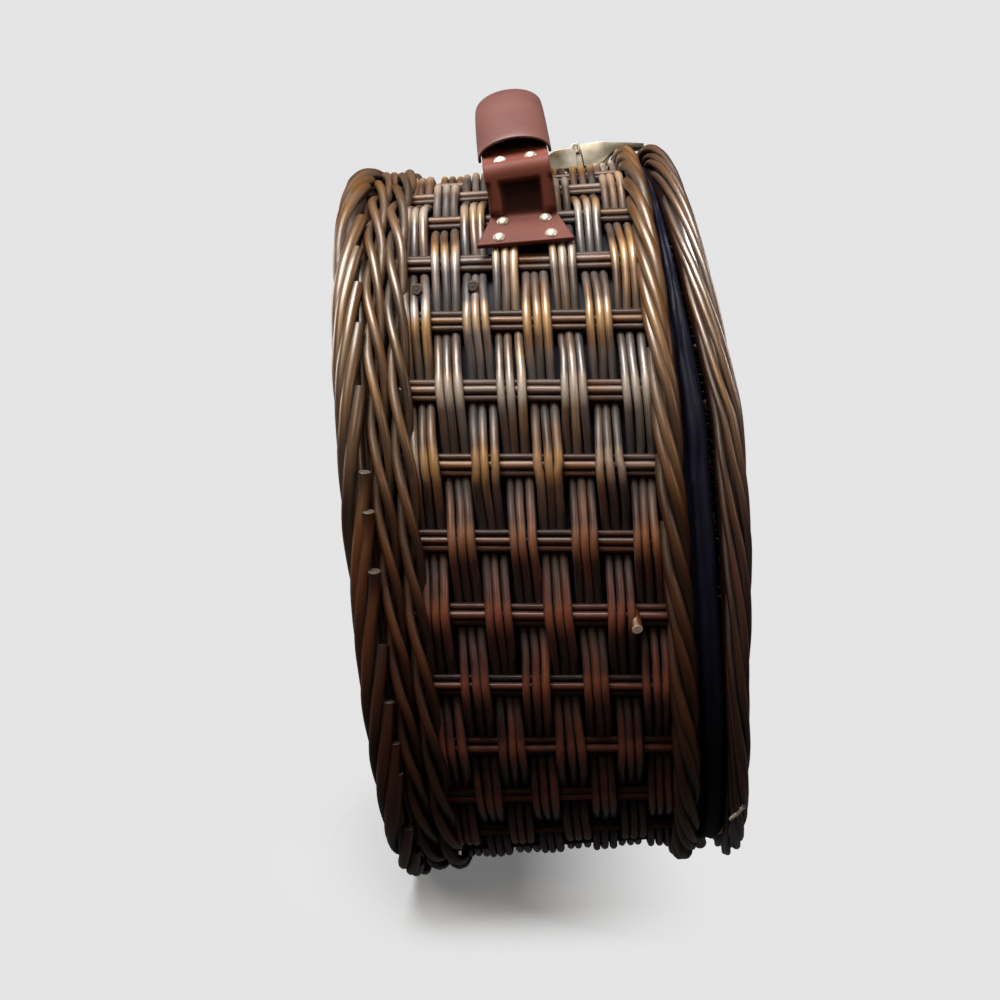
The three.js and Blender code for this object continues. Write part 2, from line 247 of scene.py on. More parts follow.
def plainMesh(piece):  # what the modifiers make becomes the piece's own mesh
    depsgraph = bpy.context.evaluated_depsgraph_get()
    mesh = bpy.data.meshes.new_from_object(
        piece.evaluated_get(depsgraph), preserve_all_data_layers=True, depsgraph=depsgraph)
    piece.modifiers.clear()
    piece.data = mesh
    mesh.name = piece.name
    print("%s: %d triangles" % (piece.name, sum(len(face.vertices) - 2 for face in mesh.polygons)))
    return mesh


def settle(piece, modifiers, sharpAngle):  # modifiers applied, faces outward, smooth but for sharp edges
    for kind, settings in modifiers:
        modifier = piece.modifiers.new(kind, kind)
        for key, value in settings.items():
            setattr(modifier, key, value)
    mesh = plainMesh(piece)
    faceOutward(mesh)
    mesh.shade_smooth()
    mesh.set_sharp_from_angle(angle=sharpAngle)
    return piece


def meshPiece(name, mesh, material, modifiers, sharpAngle):
    mesh.materials.append(material)
    faceOutward(mesh)
    return settle(addObject(name, mesh), modifiers, sharpAngle)


def place(piece, body, slotName, *nodes):
    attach(piece, body)
    if nodes:
        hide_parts(*nodes)


# outline of the case, by length along the wall

def traceOutline():
    reach = 2 / shape["power"]
    spots = []
    for step in range(shape["outlineSteps"]):
        turn = math.tau * step / shape["outlineSteps"] - math.pi / 2
        across = math.copysign(abs(math.cos(turn)) ** reach, math.cos(turn))
        upward = math.copysign(abs(math.sin(turn)) ** reach, math.sin(turn))
        height = max(shape["halfHeight"] * upward, -shape["footDepth"])
        spots.append(Vector((-shape["halfWidth"] * across, height)))
    return spots + spots[:1]


def evenOutline():
    spots = traceOutline()
    count, reach = shape["outlineSteps"], shape["smoothing"]
    lengths = [0.0]
    for before, after in zip(spots, spots[1:]):
        lengths.append(lengths[-1] + (after - before).length)
    even, seek = [], 0
    for i in range(count):
        wanted = lengths[-1] * i / count
        while lengths[seek + 1] < wanted:
            seek += 1
        share = (wanted - lengths[seek]) / max(lengths[seek + 1] - lengths[seek], 1e-9)
        even.append(spots[seek].lerp(spots[seek + 1], share))
    outward = []
    for i in range(count):
        along = even[(i + reach) % count] - even[i - reach]
        outward.append(Vector((-along.y, along.x)).normalized())
    return even, outward, lengths[-1]


evenSpots, evenOutward, girth = evenOutline()
stakePitch = girth / shape["stakes"]
nearEnd = min(range(len(evenSpots)), key=lambda i: evenSpots[i].x) * girth / len(evenSpots)
firstStake = nearEnd + shape["firstStake"]


def wallFrame(length):
    step = (length / girth % 1.0) * len(evenSpots)
    low = int(step) % len(evenSpots)
    high = (low + 1) % len(evenSpots)
    spot = evenSpots[low].lerp(evenSpots[high], step - int(step))
    outward = evenOutward[low].lerp(evenOutward[high], step - int(step)).normalized()
    return spot, outward


def drawIn(point):
    for before, after in zip(drawnIn["rows"], drawnIn["rows"][1:]):
        if point.y >= after[0]:
            break
    share = clamp((before[0] - point.y) / (before[0] - after[0]))
    top, foot = [low + (high - low) * share for low, high in zip(before[1:], after[1:])]
    height = point.z - shape["centreHeight"]
    top *= clamp((height - drawnIn["from"]) / drawnIn["over"])
    foot *= clamp(-height / drawnIn["thinnedOver"])
    return Vector((point.x, point.y + top + foot, point.z))


def wallPoint(length, proud, y):
    spot, outward = wallFrame(length)
    at = spot + outward * proud
    return drawIn(Vector((at.x, y, at.y + shape["centreHeight"])))


print("outline: girth %.4f m, stake pitch %.4f m" % (girth, stakePitch))


# camera at the photograph's place

photoView = {
    "from": (-0.7294, -0.0060, 0.2657),
    "yaw": 0.045,
    "pitch": 0.119,
    "roll": -0.082,
    "frameWidth": 1000,      # in pixels
    "focalPixels": 1386.0,
    "sensor": 36.0,
    "clipStart": 0.01,
}


def setCamera():
    yaw, pitch, roll = photoView["yaw"], photoView["pitch"], photoView["roll"]
    ahead = Vector((math.cos(yaw) * math.cos(pitch), math.sin(yaw) * math.cos(pitch), -math.sin(pitch)))
    level = ahead.cross(Vector((0, 0, 1))).normalized()
    over = level.cross(ahead)
    right = level * math.cos(roll) + over * math.sin(roll)
    up = over * math.cos(roll) - level * math.sin(roll)
    lens = bpy.data.cameras.new("photoCamera")
    lens.sensor_width = photoView["sensor"]
    lens.lens = photoView["focalPixels"] * photoView["sensor"] / photoView["frameWidth"]
    lens.clip_start = photoView["clipStart"]
    turned = Matrix((right, up, -ahead)).transposed().to_4x4()
    turned.translation = Vector(photoView["from"])
    camera = addObject("photoCamera", lens)
    camera.matrix_world = turned
    scene.camera = camera


setCamera()


# studio: pale floor, one large soft light above, two weak warm ones at the sides, fills for lid and back

studio = {
    "floorSize": 2.0,
    "paint": 0.33,
    "shadowFade": (0.10, 0.18),       # from the middle
    "shadowLeast": 0.2,
    "frontFade": (0.070, -0.066),     # in Y
    "backdrop": 0.78,
    "surround": 0.055,
    "lights": {   # place, aim, size, watts, colour
        "overhead": ((-0.43, 0.12, 1.20), (-0.08, 0.0, 0.27), 0.70, 43.0, (0.96, 0.98, 1.0)),
        "upperLeft": ((-1.15, 0.35, 0.95), (-0.1, 0.0, 0.27), 0.45, 4.5, (1.0, 0.80, 0.55)),
        "lowRight": ((-0.55, -0.75, 0.40), (-0.1, -0.06, 0.16), 0.3, 1.6, (1.0, 0.70, 0.58)),
        "frontFill": ((0.55, -1.25, 0.70), (0.0, -0.07, 0.17), 0.6, 9.0, (1.0, 0.95, 0.90)),
        "backFill": ((0.55, 1.25, 0.70), (0.0, 0.07, 0.17), 0.6, 9.0, (1.0, 0.95, 0.90)),
    },
}


# takes the case's shadow and fades into the backdrop, at once in front, where the lid swings down
def paleMaterial():
    material, tree = newMaterial("paleFloor")[:2]
    tree.nodes.clear()
    spot = objectSpot(tree)
    away = ramp(calcVector("LENGTH", spot, output="Value"), *studio["shadowFade"], studio["shadowLeast"])
    front = ramp(axisOf(spot, "Y"), *studio["frontFade"])
    mix = flow(tree, "ShaderNodeMixShader", {
        0: calc("MAXIMUM", away, front),
        1: flow(tree, "ShaderNodeBsdfDiffuse", {"Color": (*[studio["paint"]] * 3, 1)}),
        2: flow(tree, "ShaderNodeBsdfTransparent")})
    addNode(tree, "ShaderNodeOutputMaterial", {"Surface": mix})
    return material


def buildFloor():
    half = studio["floorSize"] / 2
    corners = [(-half, -half, 0), (half, -half, 0), (half, half, 0), (-half, half, 0)]
    floor = addObject("floor", newMesh("floor", corners, faces=[(0, 1, 2, 3)]))
    floor.data.materials.append(paleMaterial())
    floor.visible_diffuse = False
    floor.visible_glossy = False


def buildLights():
    for name, (at, aim, size, watts, color) in studio["lights"].items():
        light = bpy.data.lights.new(name, "AREA")
        light.shape = "DISK"
        light.size = size
        light.energy = watts
        light.color = color
        holder = addObject(name, light)
        holder.location = at
        holder.rotation_euler = (Vector(aim) - Vector(at)).to_track_quat("-Z", "Y").to_euler()


def buildWorld():
    world = bpy.data.worlds.new("studioWorld")
    scene.world = world
    world.use_nodes = True
    tree = world.node_tree
    tree.nodes.clear()
    dim, bright = [flow(tree, "ShaderNodeBackground", {"Color": (1, 1, 1, 1), "Strength": studio[label]})
                   for label in ("surround", "backdrop")]
    seen = flow(tree, "ShaderNodeLightPath", output="Is Camera Ray")
    mix = flow(tree, "ShaderNodeMixShader", {0: seen, 1: dim, 2: bright})
    addNode(tree, "ShaderNodeOutputWorld", {"Surface": mix})
    scene.view_settings.view_transform = "Standard"


buildFloor()
buildLights()
buildWorld()
print("camera and studio set")


# willow: stained bark with streaks along each rod, and painted shade, highlight and sheen

bark = {
    "rodStep": 37.0,                     # keeps the rods' streaks apart
    "fibre": (1.6, 1.6, 9.0),
    "fibreDetail": 5.0,
    "fibreRough": 0.62,
    "blotch": (0.5, 0.5, 26.0),
    "blotchDetail": 3.0,
    "streakTone": 0.7,
    "blotchTone": 0.7,
    "shadeTone": 0.42,
    "toneShift": -0.06,
    "warmFrom": (0.18, 0.62),            # tones
    "paleFrom": (0.60, 1.05),
    # painted highlight: how far a rod's crest turns pale
    "crestHighlightShare": 0.55,
    "footHeights": (0.155, 0.24),        # painted shade: darker and redder toward the foot
    "lowShadeTint": (0.52, 0.25, 0.32, 1),
    "sheenPatchScale": 31.0,                 # painted sheen: the upper rods are greyed here and there
    "sheenPatchDetail": 2.0,
    "sheenPatchFrom": (0.42, 0.62),
    "saturation": 1.14,
    "gapShade": 0.6,                     # painted shade between rods and under stakes
    "gapShadeColor": (0.004, 0.003, 0.003, 1),
    "gapShadeDull": 0.85,
    "gapRough": 0.35,
    "rough": 0.22,
    "streakRough": 0.30,
    "blotchRise": 0.6,
    "bump": 0.35,
    "bumpDepth": 0.0006,
    "varnish": 0.8,
    "varnishRough": 0.24,
}


def willowGroup():
    tree, given, done = newTree(
        "Shader", "willowStain",
        {"Deep": "Color", "Warm": "Color", "Pale": "Color",
         "Streak Scale": "Float", "Soak": "Float", "Silver": "Float"},
        {"Color": "Color", "Roughness": "Float", "Height": "Float", "Gloss": "Float"})
    shade = attributeOf(tree, "rodShade")
    skin = attributeOf(tree, "rodSkin", "Vector")
    skin = calcVector("ADD", skin, vectorOf(tree, 0.0, 0.0, shade * bark["rodStep"]))
    streak = cloudOf(calcVector("MULTIPLY", skin, bark["fibre"]), given["Streak Scale"],
                     bark["fibreDetail"], bark["fibreRough"])
    blotch = cloudOf(calcVector("MULTIPLY", skin, bark["blotch"]), 1.0, bark["blotchDetail"])
    tone = streak * bark["streakTone"] + (shade * bark["shadeTone"] + bark["toneShift"])
    tone = (blotch - 0.5) * bark["blotchTone"] + tone
    color = mixColor(ramp(tone, *bark["warmFrom"]), given["Deep"], given["Warm"])
    color = mixColor(ramp(tone, *bark["paleFrom"]), color, given["Pale"])
    # painted highlight: paler where a rod lies on its crest
    color = mixColor(attributeOf(tree, "rodCrest") * bark["crestHighlightShare"], color, given["Pale"])
    spot = objectSpot(tree)
    raised = ramp(axisOf(spot, "Z"), *bark["footHeights"])
    # painted sheen: upper rods greyed in patches
    sheenPatches = ramp(cloudOf(spot, bark["sheenPatchScale"], bark["sheenPatchDetail"]), *bark["sheenPatchFrom"])
    color = flow(tree, "ShaderNodeHueSaturation", {
        "Saturation": bark["saturation"] - sheenPatches * raised * given["Silver"], "Color": color})
    # painted shade: darker and redder toward the foot
    lowShaded = mixColor(raised, bark["lowShadeTint"], (1, 1, 1, 1))
    color = mixColor(given["Soak"], color, lowShaded, "MULTIPLY")
    # painted shade between rods, under stakes and on sides that meet other rods; the varnish is dulled there
    # too
    paintedShade = calc("MAXIMUM", attributeOf(tree, "rodSunk"), attributeOf(tree, "rodShut"))
    feed(done, {
        "Color": mixColor(paintedShade * bark["gapShade"], color, bark["gapShadeColor"]),
        "Gloss": 1.0 - paintedShade * bark["gapShadeDull"],
        "Roughness": streak * bark["streakRough"] + bark["rough"] + paintedShade * bark["gapRough"],
        "Height": blotch * bark["blotchRise"] + streak})
    return tree


stainAndPaintedLight = willowGroup()

willowColumns = ("deep", "warm", "pale", "sheen", "streaks", "paintedSheen", "lowShade", "gloss", "rough")
willowLooks = {
    "weaveWillow": ((0.016, 0.0065, 0.0040), (0.072, 0.033, 0.015), (0.26, 0.156, 0.069), (1.0, 0.95, 0.87),
                    2.6, 0.62, 1.0, 0.54, 0.06),
    "stakeWillow": ((0.016, 0.006, 0.004), (0.080, 0.036, 0.018), (0.20, 0.105, 0.055), (1.0, 0.90, 0.74),
                    2.4, 0.45, 1.0, 0.25, 0.20),
    "borderWillow": ((0.012, 0.004, 0.002), (0.054, 0.0225, 0.009), (0.14, 0.076, 0.031), (1.0, 0.84, 0.62),
                     2.2, 0.20, 0.80, 0.52, 0.03),
    "lidWillow": ((0.010, 0.003, 0.002), (0.044, 0.0180, 0.0088), (0.150, 0.081, 0.037), (1.0, 0.88, 0.72),
                  2.2, 0.15, 0.88, 0.78, 0.0),
    "cutWillow": ((0.03, 0.024, 0.018), (0.065, 0.055, 0.045), (0.14, 0.12, 0.10), (1.0, 1.0, 1.0),
                  6.0, 0.0, 0.0, 0.3, 0.2),
    "splitWillow": ((0.62, 0.55, 0.45), (0.78, 0.72, 0.62), (0.90, 0.86, 0.78), (1.0, 1.0, 1.0),
                    6.0, 0.0, 0.0, 0.5, 0.1),
}


def willowMaterial(name):
    look = dict(zip(willowColumns, willowLooks[name]))
    material, tree, shader = newMaterial(name)
    made = placeGroup(tree, stainAndPaintedLight, {
        "Deep": (*look["deep"], 1), "Warm": (*look["warm"], 1), "Pale": (*look["pale"], 1),
        "Streak Scale": look["streaks"], "Soak": look["lowShade"], "Silver": look["paintedSheen"]})
    shine = bark["varnish"] * look["gloss"]
    feed(shader, {
        "Base Color": made["Color"],
        "Roughness": made["Roughness"] + look["rough"],
        "Normal": bumpOf(made["Height"], bark["bump"], bark["bumpDepth"]),
        "Coat Weight": made["Gloss"] * shine,
        "Coat Roughness": bark["varnishRough"],
        "Specular IOR Level": shine,
        "Specular Tint": (*look["sheen"], 1)})
    return material


willow = {name: willowMaterial(name) for name in willowLooks}


# geometry nodes: trees that grow rods on guides

def shapeTree(name, inputs):
    return newTree("Geometry", name, {"Geometry": "Geometry", **inputs}, {"Geometry": "Geometry"})


def named(tree, name, kind="FLOAT"):
    return flow(tree, "GeometryNodeInputNamedAttribute", {"Name": name}, "Attribute", data_type=kind)


def store(geometry, values, kind="FLOAT"):
    for name, value in values.items():
        geometry = flow(geometry.tree, "GeometryNodeStoreNamedAttribute", {
            "Geometry": geometry, "Name": name, "Value": value}, data_type=kind, domain="POINT")
    return geometry


def moveBy(geometry, offset):
    return flow(geometry.tree, "GeometryNodeSetPosition", {"Geometry": geometry, "Offset": offset})


def randomValue(low, high, which, seed):
    return flow(which.tree, "FunctionNodeRandomValue", {2: low, 3: high, "ID": which, "Seed": seed}, 1,
                data_type="FLOAT")


def eitherWay(spread, which, seed):
    return randomValue(spread * -1.0, spread, which, seed)


def realize(geometry):
    return flow(geometry.tree, "GeometryNodeRealizeInstances", {"Geometry": geometry})


def endTree(tree, given, done, geometry):
    feed(done, {"Geometry": flow(tree, "GeometryNodeSetMaterial", {
        "Geometry": realize(geometry), "Material": given["Material"]})})
    return tree


skinInputs = {
    "Sides": 8, "Wobble": 0.0008, "Wobble Scale": 45.0, "Swell": 0.10, "Seed": 1, "Material": "Material"}

rodForm = {
    "seedStep": 3.7,
    "sidePaintedShadeFrom": (0.80, 0.10),     # how squarely a side faces outward, for painted shade on sides that meet other rods
    "streakRun": 3.0,             # rods start anywhere in this length of the streaks
    "plainRise": 0.4,
    "crestHighlight": (0.6, 1.0, 0.4),     # rise where the painted highlight begins and is full, and how much
    "paintedShade": (0.1, -0.7),          # rise where painted shade begins and is full
}


def rodSkinTree():  # curves with rodRadius, rodShade and rodAlong become round rods
    tree, given, done = shapeTree("rodSkin", skinInputs)
    spot = flow(tree, "GeometryNodeInputPosition")
    shifted = calcVector("ADD", spot, vectorOf(tree, given["Seed"] * rodForm["seedStep"], 0.0, 0.0))
    cloud = addNode(tree, "ShaderNodeTexNoise", {
        "Vector": shifted, "Scale": given["Wobble Scale"], "Detail": 1.0}).outputs
    shove = calcVector("SUBTRACT", Flow(cloud["Color"]), (0.5, 0.5, 0.5))
    swell = (Flow(cloud["Fac"]) - 0.5) * given["Swell"] + 1.0
    circle = flow(tree, "GeometryNodeCurvePrimitiveCircle", {"Resolution": given["Sides"], "Radius": 1.0})
    catch = tree.nodes.new("GeometryNodeCaptureAttribute")
    catch.capture_items.new("VECTOR", "skin")
    feed(catch.inputs, {0: circle, 1: spot})
    profile, around = Flow(catch.outputs[0]), Flow(catch.outputs[1])
    rods = flow(tree, "GeometryNodeCurveToMesh", {
        "Curve": moveBy(given["Geometry"], scaled(shove, given["Wobble"])), "Profile Curve": profile,
        "Scale": named(tree, "rodRadius") * swell, "Fill Caps": True})
    skin = vectorOf(tree, axisOf(around, "X"), axisOf(around, "Y"), named(tree, "rodAlong"))
    outward = named(tree, "outward", "FLOAT_VECTOR")
    facing = calcVector("DOT_PRODUCT", flow(tree, "GeometryNodeInputNormal"), outward, output="Value")
    known = calcVector("LENGTH", outward, output="Value")
    rods = store(rods, {"rodSkin": skin}, "FLOAT_VECTOR")
    # painted shade on the sides of a rod that meet other rods
    rods = store(rods, {"rodShut": ramp(calc("ABSOLUTE", facing), *rodForm["sidePaintedShadeFrom"]) * known})
    return endTree(tree, given, done, flow(tree, "GeometryNodeSetShadeSmooth", {"Geometry": rods}))


rodSkin = rodSkinTree()


def endInRods(tree, given, done, curves):
    values = {"Geometry": curves, **{label: given[label] for label in skinInputs}}
    feed(done, {"Geometry": flow(tree, "GeometryNodeGroup", values, node_tree=rodSkin)})
    return tree


def curvesOf(given):
    return flow(given["Geometry"].tree, "GeometryNodeMeshToCurve", {"Mesh": given["Geometry"]})


def pointsOf(given):
    return flow(given["Geometry"].tree, "GeometryNodeMeshToPoints", {"Mesh": given["Geometry"]})


def copiesOf(geometry, count, domain):
    made = addNode(geometry.tree, "GeometryNodeDuplicateElements", {
        "Geometry": geometry, "Amount": count}, domain=domain).outputs
    return Flow(made[0]), Flow(made["Duplicate Index"])


def rodsAlongEdgesTree():
    tree, given, done = shapeTree("rodsAlongEdges", skinInputs)
    return endInRods(tree, given, done, curvesOf(given))


wallWeave = {
    "depth": -0.0023,        # middle of the weave, from the outline
    "stepsPerStake": 10,
    "weavers": {
        "Columns": 8, "Rods": 3, "Column Pitch": 0.0125, "Rod Pitch": 0.0039, "Middle": 0.0046,
        "Lift": 0.0039, "Lift Spread": 0.12, "Lean": 0.0020, "Rod Radius": 0.00185, "Radius Spread": 0.08,
        "Stake Pitch": stakePitch, "Rack": shape["rack"], "Bend": 0.9},
    "stakes": {
        "Back": 0.0585, "Front": -0.0470, "Pair Gap": 0.0032, "Rod Radius": 0.00185, "Rods": 3,
        "Stagger": 0.0004, "Middle": 0.0046, "Rack": shape["rack"], "Set Back": 0.0010, "Thinner": 0.14},
    "weaverSkin": (8, 0.0010, 55.0, 0.16, 3),   # sides, wobble, its scale, swell, seed
    "stakeSkin": (8, 0.0006, 30.0, 0.12, 11),
}

weaverForm = {
    "whole": 0.01,                # keeps a column's number clear of rounding
    "leanNoise": (0.55, 5.3, 0.35),
    "thickSeed": 5.0,
    "shadeSeed": 9.0,
    "paintedShadeFrom": (0.35, -0.55),    # heights of the wave where painted shade begins and is full, under a stake
    # heights of the wave where a painted highlight lies on the crest
    "crestHighlightFrom": (0.55, 0.95),
}


def weaversTree():  # copies of the wall's outline that run over and under the stakes
    tree, given, done = shapeTree("weavers", {**skinInputs, **wallWeave["weavers"]})
    rods, which = copiesOf(curvesOf(given), given["Columns"] * given["Rods"], "SPLINE")
    column = calc("FLOOR", (which + weaverForm["whole"]) / given["Rods"])
    rod = which - column * given["Rods"]
    turn = named(tree, "turn")
    side = ((given["Columns"] - 1.0) / 2.0 - column) * given["Column Pitch"]
    phase = turn - side * given["Rack"] / given["Stake Pitch"] + column
    wave = calc("COSINE", phase * math.pi) * given["Bend"]
    wave = calc("ARCSINE", wave) / calc("ARCSINE", given["Bend"])   # sharper where it crosses a stake
    lift = (eitherWay(given["Lift Spread"], which, given["Seed"]) + 1.0) * given["Lift"] * wave
    step = ((given["Rods"] - 1.0) / 2.0 - rod) * given["Rod Pitch"]
    alongTurn, perColumn, perRod = weaverForm["leanNoise"]
    seek = vectorOf(tree, turn * alongTurn, column * perColumn, rod * perRod)
    lean = (cloudOf(seek, 1.0, 1.0) - 0.5) * (given["Lean"] * 2.0)
    across = vectorOf(tree, 0.0, (side + given["Middle"]) + (step + lean), 0.0)
    rods = moveBy(rods, calcVector("ADD", scaled(named(tree, "outward", "FLOAT_VECTOR"), lift), across))
    thick = eitherWay(given["Radius Spread"], which, given["Seed"] + weaverForm["thickSeed"]) + 1.0
    # painted shade where a weaver dips under a stake, painted highlight on its crest
    rods = store(rods, {
        "rodRadius": thick * given["Rod Radius"],
        "rodShade": randomValue(0.0, 1.0, which, given["Seed"] + weaverForm["shadeSeed"]),
        "rodAlong": turn * given["Stake Pitch"],
        "rodSunk": ramp(wave, *weaverForm["paintedShadeFrom"]),
        "rodCrest": ramp(wave, *weaverForm["crestHighlightFrom"])})
    return endInRods(tree, given, done, rods)


stakeForm = {
    "shades": (0.2, 1.0),
    "shadeSeed": 3.0,
    "thickness": (0.92, 1.08),
    "thickSeed": 4.0,
    "outerShade": 0.5,            # the outer rods of a group lie deeper and are darker: painted shade
    "outerPaintedShade": 0.45,
    "steps": 18,
}


def stakesTree():  # groups of straight rods across the wall, one group on each guide point
    tree, given, done = shapeTree("stakes", {**skinInputs, **wallWeave["stakes"]})
    points, which = copiesOf(pointsOf(given), given["Rods"], "POINT")
    order = flow(tree, "GeometryNodeInputIndex")
    step = which - (given["Rods"] - 1.0) / 2.0
    rank = calc("ABSOLUTE", step)
    slip = eitherWay(given["Stagger"], order, given["Seed"]) - rank * given["Set Back"]
    upWall = named(tree, "upWall", "FLOAT_VECTOR")
    outward = scaled(named(tree, "outward", "FLOAT_VECTOR"), slip)
    points = moveBy(points, calcVector("ADD", scaled(upWall, step * given["Pair Gap"]), outward))
    shade = randomValue(*stakeForm["shades"], order, given["Seed"] + stakeForm["shadeSeed"])
    thick = randomValue(*stakeForm["thickness"], order, given["Seed"] + stakeForm["thickSeed"])
    # the outer rods get a darker tone and painted shade
    points = store(points, {
        "rodShade": shade - rank * stakeForm["outerShade"],
        "rodRadius": given["Rod Radius"] * (thick - rank * given["Thinner"]),
        "rodSunk": rank * stakeForm["outerPaintedShade"]})
    line = flow(tree, "GeometryNodeCurvePrimitiveLine", {
        "Start": vectorOf(tree, 0.0, given["Back"], 0.0), "End": vectorOf(tree, 0.0, given["Front"], 0.0)})
    line = flow(tree, "GeometryNodeResampleCurve", {"Curve": line, "Count": stakeForm["steps"]})
    line = store(line, {"rodAlong": flow(tree, "GeometryNodeSplineParameter", output="Length")})
    rods = realize(flow(tree, "GeometryNodeInstanceOnPoints", {"Points": points, "Instance": line}))
    across = axisOf(flow(tree, "GeometryNodeInputPosition"), "Y") - given["Middle"]
    return endInRods(tree, given, done, moveBy(rods, scaled(upWall, across * given["Rack"])))


def facesOnPointsTree():  # one copy of a small part on each guide point, turned to its aim and scaled
    tree, given, done = shapeTree("facesOnPoints", {"Part": "Object", "Material": "Material"})
    part = flow(tree, "GeometryNodeObjectInfo", {"Object": given["Part"]}, "Geometry")
    aim = named(tree, "aim", "FLOAT_VECTOR")
    turned = flow(tree, "FunctionNodeAlignRotationToVector", {"Vector": aim}, axis="Z")
    copies = flow(tree, "GeometryNodeInstanceOnPoints", {
        "Points": pointsOf(given), "Instance": part, "Rotation": turned, "Scale": named(tree, "size")})
    return endTree(tree, given, done, copies)


def growPiece(name, guide, tree, values):
    piece = addObject(name, guide)
    modifier = piece.modifiers.new(tree.name, "NODES")
    modifier.node_group = tree
    for item in tree.interface.items_tree:
        if item.in_out == "INPUT" and item.name in values:
            modifier[item.identifier] = values[item.name]
    plainMesh(piece)
    return piece


def skinOf(row, willowName):
    return dict(zip(skinInputs, (*row, willow[willowName])))


rodsAlongEdges = rodsAlongEdgesTree()
weavers = weaversTree()
stakes = stakesTree()
facesOnPoints = facesOnPointsTree()


# guides for rods made one by one

def rodGuide(name, rods):
    spots, edges, radii, shades, along, outward, crestHighlights, paintedShades = [[] for i in range(8)]
    crestHighlightFrom, crestHighlightFull, highlightShare = rodForm["crestHighlight"]
    paintedShadeFrom, paintedShadeFull = rodForm["paintedShade"]
    for rod in rods:
        points = rod["points"]
        first, count = len(spots), len(points)
        walked = dice.random() * rodForm["streakRun"]
        for before, point in zip(points[:1] + points, points):
            walked += (point - before).length
            along.append(walked)
        spots += points
        radii += [rod["radius"]] * count
        shades += [rod["shade"]] * count
        outward += rod.get("outward", [(0.0, 0.0, 0.0)] * count)
        # painted highlight where a rod lies outermost, painted shade where it lies deep
        for rise in rod.get("rise", [rodForm["plainRise"]] * count):
            crestHighlights.append(highlightShare * clamp((rise - crestHighlightFrom) / (crestHighlightFull - crestHighlightFrom)))
            paintedShades.append(clamp((paintedShadeFrom - rise) / (paintedShadeFrom - paintedShadeFull)))
        edges += [(i, i + 1) for i in range(first, len(spots) - 1)]
        if rod.get("closed"):
            edges.append((len(spots) - 1, first))
    return newMesh(name, spots, edges, rodRadius=radii, rodShade=shades, rodAlong=along, outward=outward,
                   rodCrest=crestHighlights, rodSunk=paintedShades)


def jitter(spread):
    return spread * (dice.random() - 0.5)


# woven wall

def weaveRow(turns):  # places at these stakes in the middle of the weave, and which way is out
    spots, outward = [], []
    for turn in turns:
        spot, away = wallFrame(firstStake + turn * stakePitch)
        spot = spot + away * wallWeave["depth"]
        spots.append((spot.x, 0.0, spot.y + shape["centreHeight"]))
        outward.append((away.x, 0.0, away.y))
    return spots, outward


def wallLoopGuide():
    count = shape["stakes"] * wallWeave["stepsPerStake"]
    turns = [i / wallWeave["stepsPerStake"] for i in range(count)]
    spots, outward = weaveRow(turns)
    edges = [(i, (i + 1) % count) for i in range(count)]
    return newMesh("wallLoop", spots, edges, outward=outward, turn=turns)


def stakeGuide():
    spots, outward = weaveRow(range(shape["stakes"]))
    return newMesh("stakePoints", spots, outward=outward, upWall=[(z, 0.0, -x) for x, y, z in outward])


wallWeavers = growPiece("wallWeavers", wallLoopGuide(), weavers, {
    **skinOf(wallWeave["weaverSkin"], "weaveWillow"), **wallWeave["weavers"]})
place(wallWeavers, "basket", "woven_willow", "body_wall")
wallStakes = growPiece("wallStakes", stakeGuide(), stakes, {
    **skinOf(wallWeave["stakeSkin"], "stakeWillow"), **wallWeave["stakes"]})
place(wallStakes, "basket", "woven_willow")


# twisted rows and borders, drawn as rods that wind round a rope's oval

ropeRings = {"steps": 180, "shade": -1.2}   # rings inside a rope that close it, made dark: painted shade


def ropeSpot(rope, length, angle, extra):
    proud = rope["middle"] + (rope["halfThick"] + extra) * math.cos(angle)
    return wallPoint(length, proud, rope["y"] + (rope["halfWide"] + extra) * math.sin(angle))


def ropeOut(length, angle):
    away = wallFrame(length)[1] * math.cos(angle)
    return away.x, math.sin(angle), away.y


# from steps of length, angle and extra: a rod's line, which way is out, and how high it lies
def windRod(rope, walk):
    return {"points": [ropeSpot(rope, *step) for step in walk],
            "outward": [ropeOut(length, angle) for length, angle, extra in walk],
            "rise": [math.cos(angle) for length, angle, extra in walk]}


def ringRod(proud, y, radius):
    points = [wallPoint(girth * i / ropeRings["steps"], proud, y) for i in range(ropeRings["steps"])]
    return {"points": points, "radius": radius, "shade": ropeRings["shade"], "closed": True}


waleRows = {
    "rows": [0.0655, 0.0562],   # middle of each row in Y
    "rowTwist": 0.13,           # of a turn, from row to row
    "rodRadius": 0.0020,
    "halfWide": 0.0031,
    "halfThick": 0.0040,
    "middle": 0.0018,
    "strands": 3,
    "stepsPerStake": 9,
    "skin": (9, 0.0012, 40.0, 0.18, 5),
}


def waleRods():
    rods = []
    count = shape["stakes"] * waleRows["stepsPerStake"]
    turns = shape["stakes"] // waleRows["strands"]
    for row, y in enumerate(waleRows["rows"]):
        for strand in range(waleRows["strands"]):
            start = math.tau * (strand / waleRows["strands"] + waleRows["rowTwist"] * row)
            walk = [(firstStake + girth * i / count, start + math.tau * turns * i / count, 0.0)
                    for i in range(count)]
            rods.append({**windRod({**waleRows, "y": y}, walk), "radius": waleRows["rodRadius"],
                         "shade": dice.random(), "closed": True})
    return rods


backWales = growPiece("backWales", rodGuide("backWales", waleRods()), rodsAlongEdges,
                      skinOf(waleRows["skin"], "borderWillow"))
place(backWales, "basket", "border_willow", "back_wale_outer", "back_wale_inner")

